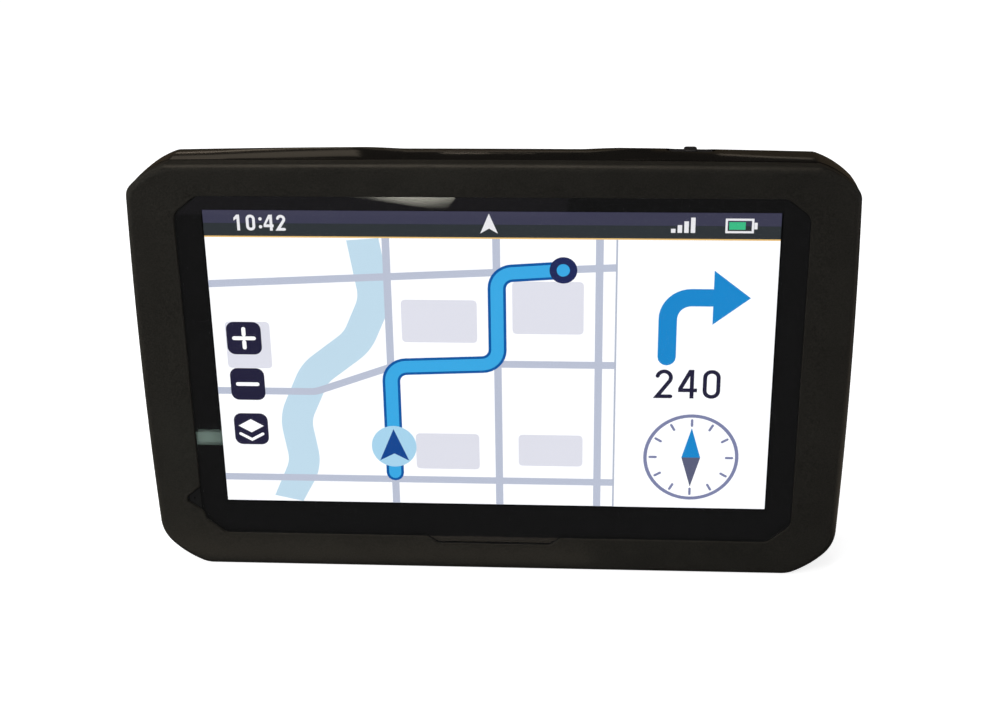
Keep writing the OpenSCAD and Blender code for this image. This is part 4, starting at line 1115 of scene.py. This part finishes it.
def standing(x0, x1, z0, z1, y):
    return [(x0, y, z0), (x1, y, z0), (x1, y, z1), (x0, y, z1)]


def lying(x0, x1, y0, y1, z):
    return [(x0, y0, z), (x1, y0, z), (x1, y1, z), (x0, y1, z)]


def seen(tree):
    """1 for the rays that show the stage: from the camera, off gloss and through glass."""
    path = tree.nodes.new("ShaderNodeLightPath")
    value = path.outputs["Is Camera Ray"]
    for ray in ("Is Glossy Ray", "Is Transmission Ray"):
        either = tree.nodes.new("ShaderNodeMath")
        either.operation = "MAXIMUM"
        tree.links.new(value, either.inputs[0])
        tree.links.new(path.outputs[ray], either.inputs[1])
        value = either.outputs[0]
    return value


def stage_floor():
    reach, glow = 3000, 0.79
    floor = mesh_object("floor", lying(-reach, reach, -reach, reach, 0), [(0, 1, 2, 3)])
    n = Nodes("floor_white")
    n.put(Base_Color=(0.55, 0.55, 0.55, 1.0), Roughness=0.9, Specular_IOR_Level=0.0)
    n.put(Emission_Color=(1.0, 1.0, 1.0, 1.0))
    n.link(n.math("MULTIPLY", seen(n.tree), glow), n.bsdf.inputs["Emission Strength"])
    floor.data.materials.append(n.mat)


def card(name, corners, colour, strength=1.0, through=False, pool=None):
    """Studio card that only reflections show: a dark flag, a bright strip, or a pool of light that fades.

    A pool is a middle, the distances from it where the fade starts and ends, and the strength at the end.
    """
    obj = mesh_object(name, corners, [(0, 1, 2, 3)])
    n = Nodes(name)
    n.put(Base_Color=(0.0, 0.0, 0.0, 1.0), Specular_IOR_Level=0.0)
    n.put(Emission_Color=colour, Emission_Strength=strength)
    if pool:
        middle, near, reach, rim = pool
        away = n.add("ShaderNodeVectorMath", {1: [c * MM for c in middle]}, operation="DISTANCE")
        n.link(n.place, away.inputs[0])
        fade = n.spread(away.outputs["Value"], strength, rim, near * MM, reach * MM)
        n.link(fade, n.bsdf.inputs["Emission Strength"])
    obj.data.materials.append(n.mat)
    for ray in ("camera", "diffuse", "volume_scatter", "shadow"):
        setattr(obj, "visible_" + ray, False)
    obj.visible_transmission = through


def cards():
    """Flags that keep the black plastic black, and the lights that draw its edges."""
    dark, black, brown = srgb(60, 60, 61), srgb(26, 25, 24), srgb(63, 55, 44)
    warm = srgb(255, 238, 214)
    far, wide, high = 700, 900, 900
    foot, under, over = 14, 0.3, 0.4
    screen_y, strip_y = 695, 690
    card("flag_front", lying(-500, 500, -far, foot, under), srgb(42, 42, 43), through=True)
    card("glow_front", lying(-75, 20, -22, -13, over), warm, 0.4)
    card("glow_far", lying(-170, 10, -290, -252, over), srgb(76, 73, 79), through=True)
    card("flag_front_wall", standing(-wide, wide, 0, high, -far), dark)
    card("flag_left", lying(-500, -72, -40, foot, over), srgb(100, 96, 90))
    card("flag_back_floor", lying(-far, far, foot, far, 0.05), brown)
    card("pool_back", lying(-300, 300, foot, 240, 0.1), srgb(255, 250, 244), 0.9,
         pool=((0, 10, 0), 0, 220, 0.045))
    card("flag_back", standing(-wide, wide, 0, high, far), black)
    for name, x0, x1, top in (("left", -far, -112, 246), ("middle", -112, 60, 213), ("right", 60, far, 262)):
        card("back_" + name, standing(x0, x1, 0, top, screen_y), brown)
    for name, x in (("flag_left_wall", -wide), ("flag_right_wall", wide)):
        card(name, [(x, -far, 0), (x, far, 0), (x, far, high), (x, -far, high)], srgb(110, 108, 105))
    card("flag_ceiling", lying(-wide, wide, -wide, far, high), black)
    card("window", lying(-380, 60, -480, 150, 880), warm, 1.8)
    for name, x0, x1, z0, z1, strength in (
            ("glow_left", -270, -112, 262, 325, 0.2), ("strip_left", -270, -125, 222, 230, 0.8),
            ("strip_scoop", -80, -50, 231, 234.5, 1.1), ("strip_scoop_end", -50, -20, 231.5, 234, 0.35),
            ("strip_middle", -112, 60, 208, 217, 0.2), ("strip_right", 103, 164, 262, 274, 0.32)):
        card(name, standing(x0, x1, z0, z1, strip_y), warm, strength)
    top_y, left_y = -89.4, -49.4
    card("glint_top", [(-41, top_y, 56.6), (-13.3, top_y, 56.8), (-16, top_y, 53.6), (-19.7, top_y, 53.5)],
         srgb(255, 253, 236), 5.0, through=True, pool=((-23.2, top_y, 84.8), 28, 31.3, 0.67))
    card("glint_left", standing(-72.9, -65.9, 8.1, 11.4, left_y), srgb(222, 255, 240), 2.5, through=True,
         pool=((-69.8, left_y, 9.4), 0, 4.5, 1.2))
    card("glow_right", lying(85, 400, -60, foot, 0.8), warm, 0.6)


def area_lamp(name, place, target, power, size, size_y):
    data = bpy.data.lights.new(name, "AREA")
    data.energy = power
    data.shape = "RECTANGLE"
    data.size = size
    data.size_y = size_y
    lamp = bpy.data.objects.new(name, data)
    lamp.location = place
    lamp.rotation_euler = (Vector(target) - Vector(place)).to_track_quat("-Z", "Y").to_euler()
    lamp.visible_glossy = False
    lamp.visible_transmission = False
    bpy.context.scene.collection.objects.link(lamp)


def studio():
    scene = bpy.context.scene
    world = bpy.data.worlds.new("studio")
    world.use_nodes = True
    scene.world = world
    tree = world.node_tree
    level = tree.nodes.new("ShaderNodeMapRange")
    level.inputs["To Min"].default_value = 0.36
    level.inputs["To Max"].default_value = 1.0
    tree.links.new(seen(tree), level.inputs["Value"])
    back = tree.nodes["Background"]
    back.inputs["Color"].default_value = (1.0, 1.0, 1.0, 1.0)
    tree.links.new(level.outputs["Result"], back.inputs["Strength"])
    area_lamp("key", (-0.45, -0.38, 0.16), (0, 0, 0.03), 3.4, 0.2, 0.2)
    area_lamp("top", (-0.1, -0.1, 0.7), (0, 0, 0.06), 3.0, 0.5, 0.12)
    scene.view_settings.view_transform = "Standard"


def photo_camera():
    """Camera at the photograph's place, fitted to the object's outline in a frame of 1000 by 726."""
    focal, image_w = 1546.42, 1000.0
    rx, ry, rz = 22.788, 3.81, -0.792
    place = (20.445, -290.356, 164.797)
    base = Matrix(((1, 0, 0), (0, 0, -1), (0, 1, 0)))
    turn = (Matrix.Rotation(math.radians(rz), 3, "Z") @ Matrix.Rotation(math.radians(rx), 3, "X")
            @ Matrix.Rotation(math.radians(ry), 3, "Y") @ base)
    data = bpy.data.cameras.new("photo")
    data.sensor_width = 36.0
    data.lens = focal * data.sensor_width / image_w
    data.clip_start = 0.01
    data.clip_end = 50.0
    cam = bpy.data.objects.new("photo", data)
    flip = Matrix(((1, 0, 0), (0, -1, 0), (0, 0, -1)))
    world = (flip @ turn).transposed().to_4x4()
    world.translation = Vector(place) * MM
    cam.matrix_world = world
    bpy.context.scene.collection.objects.link(cam)
    bpy.context.scene.camera = cam


stage_floor()
cards()
studio()
photo_camera()
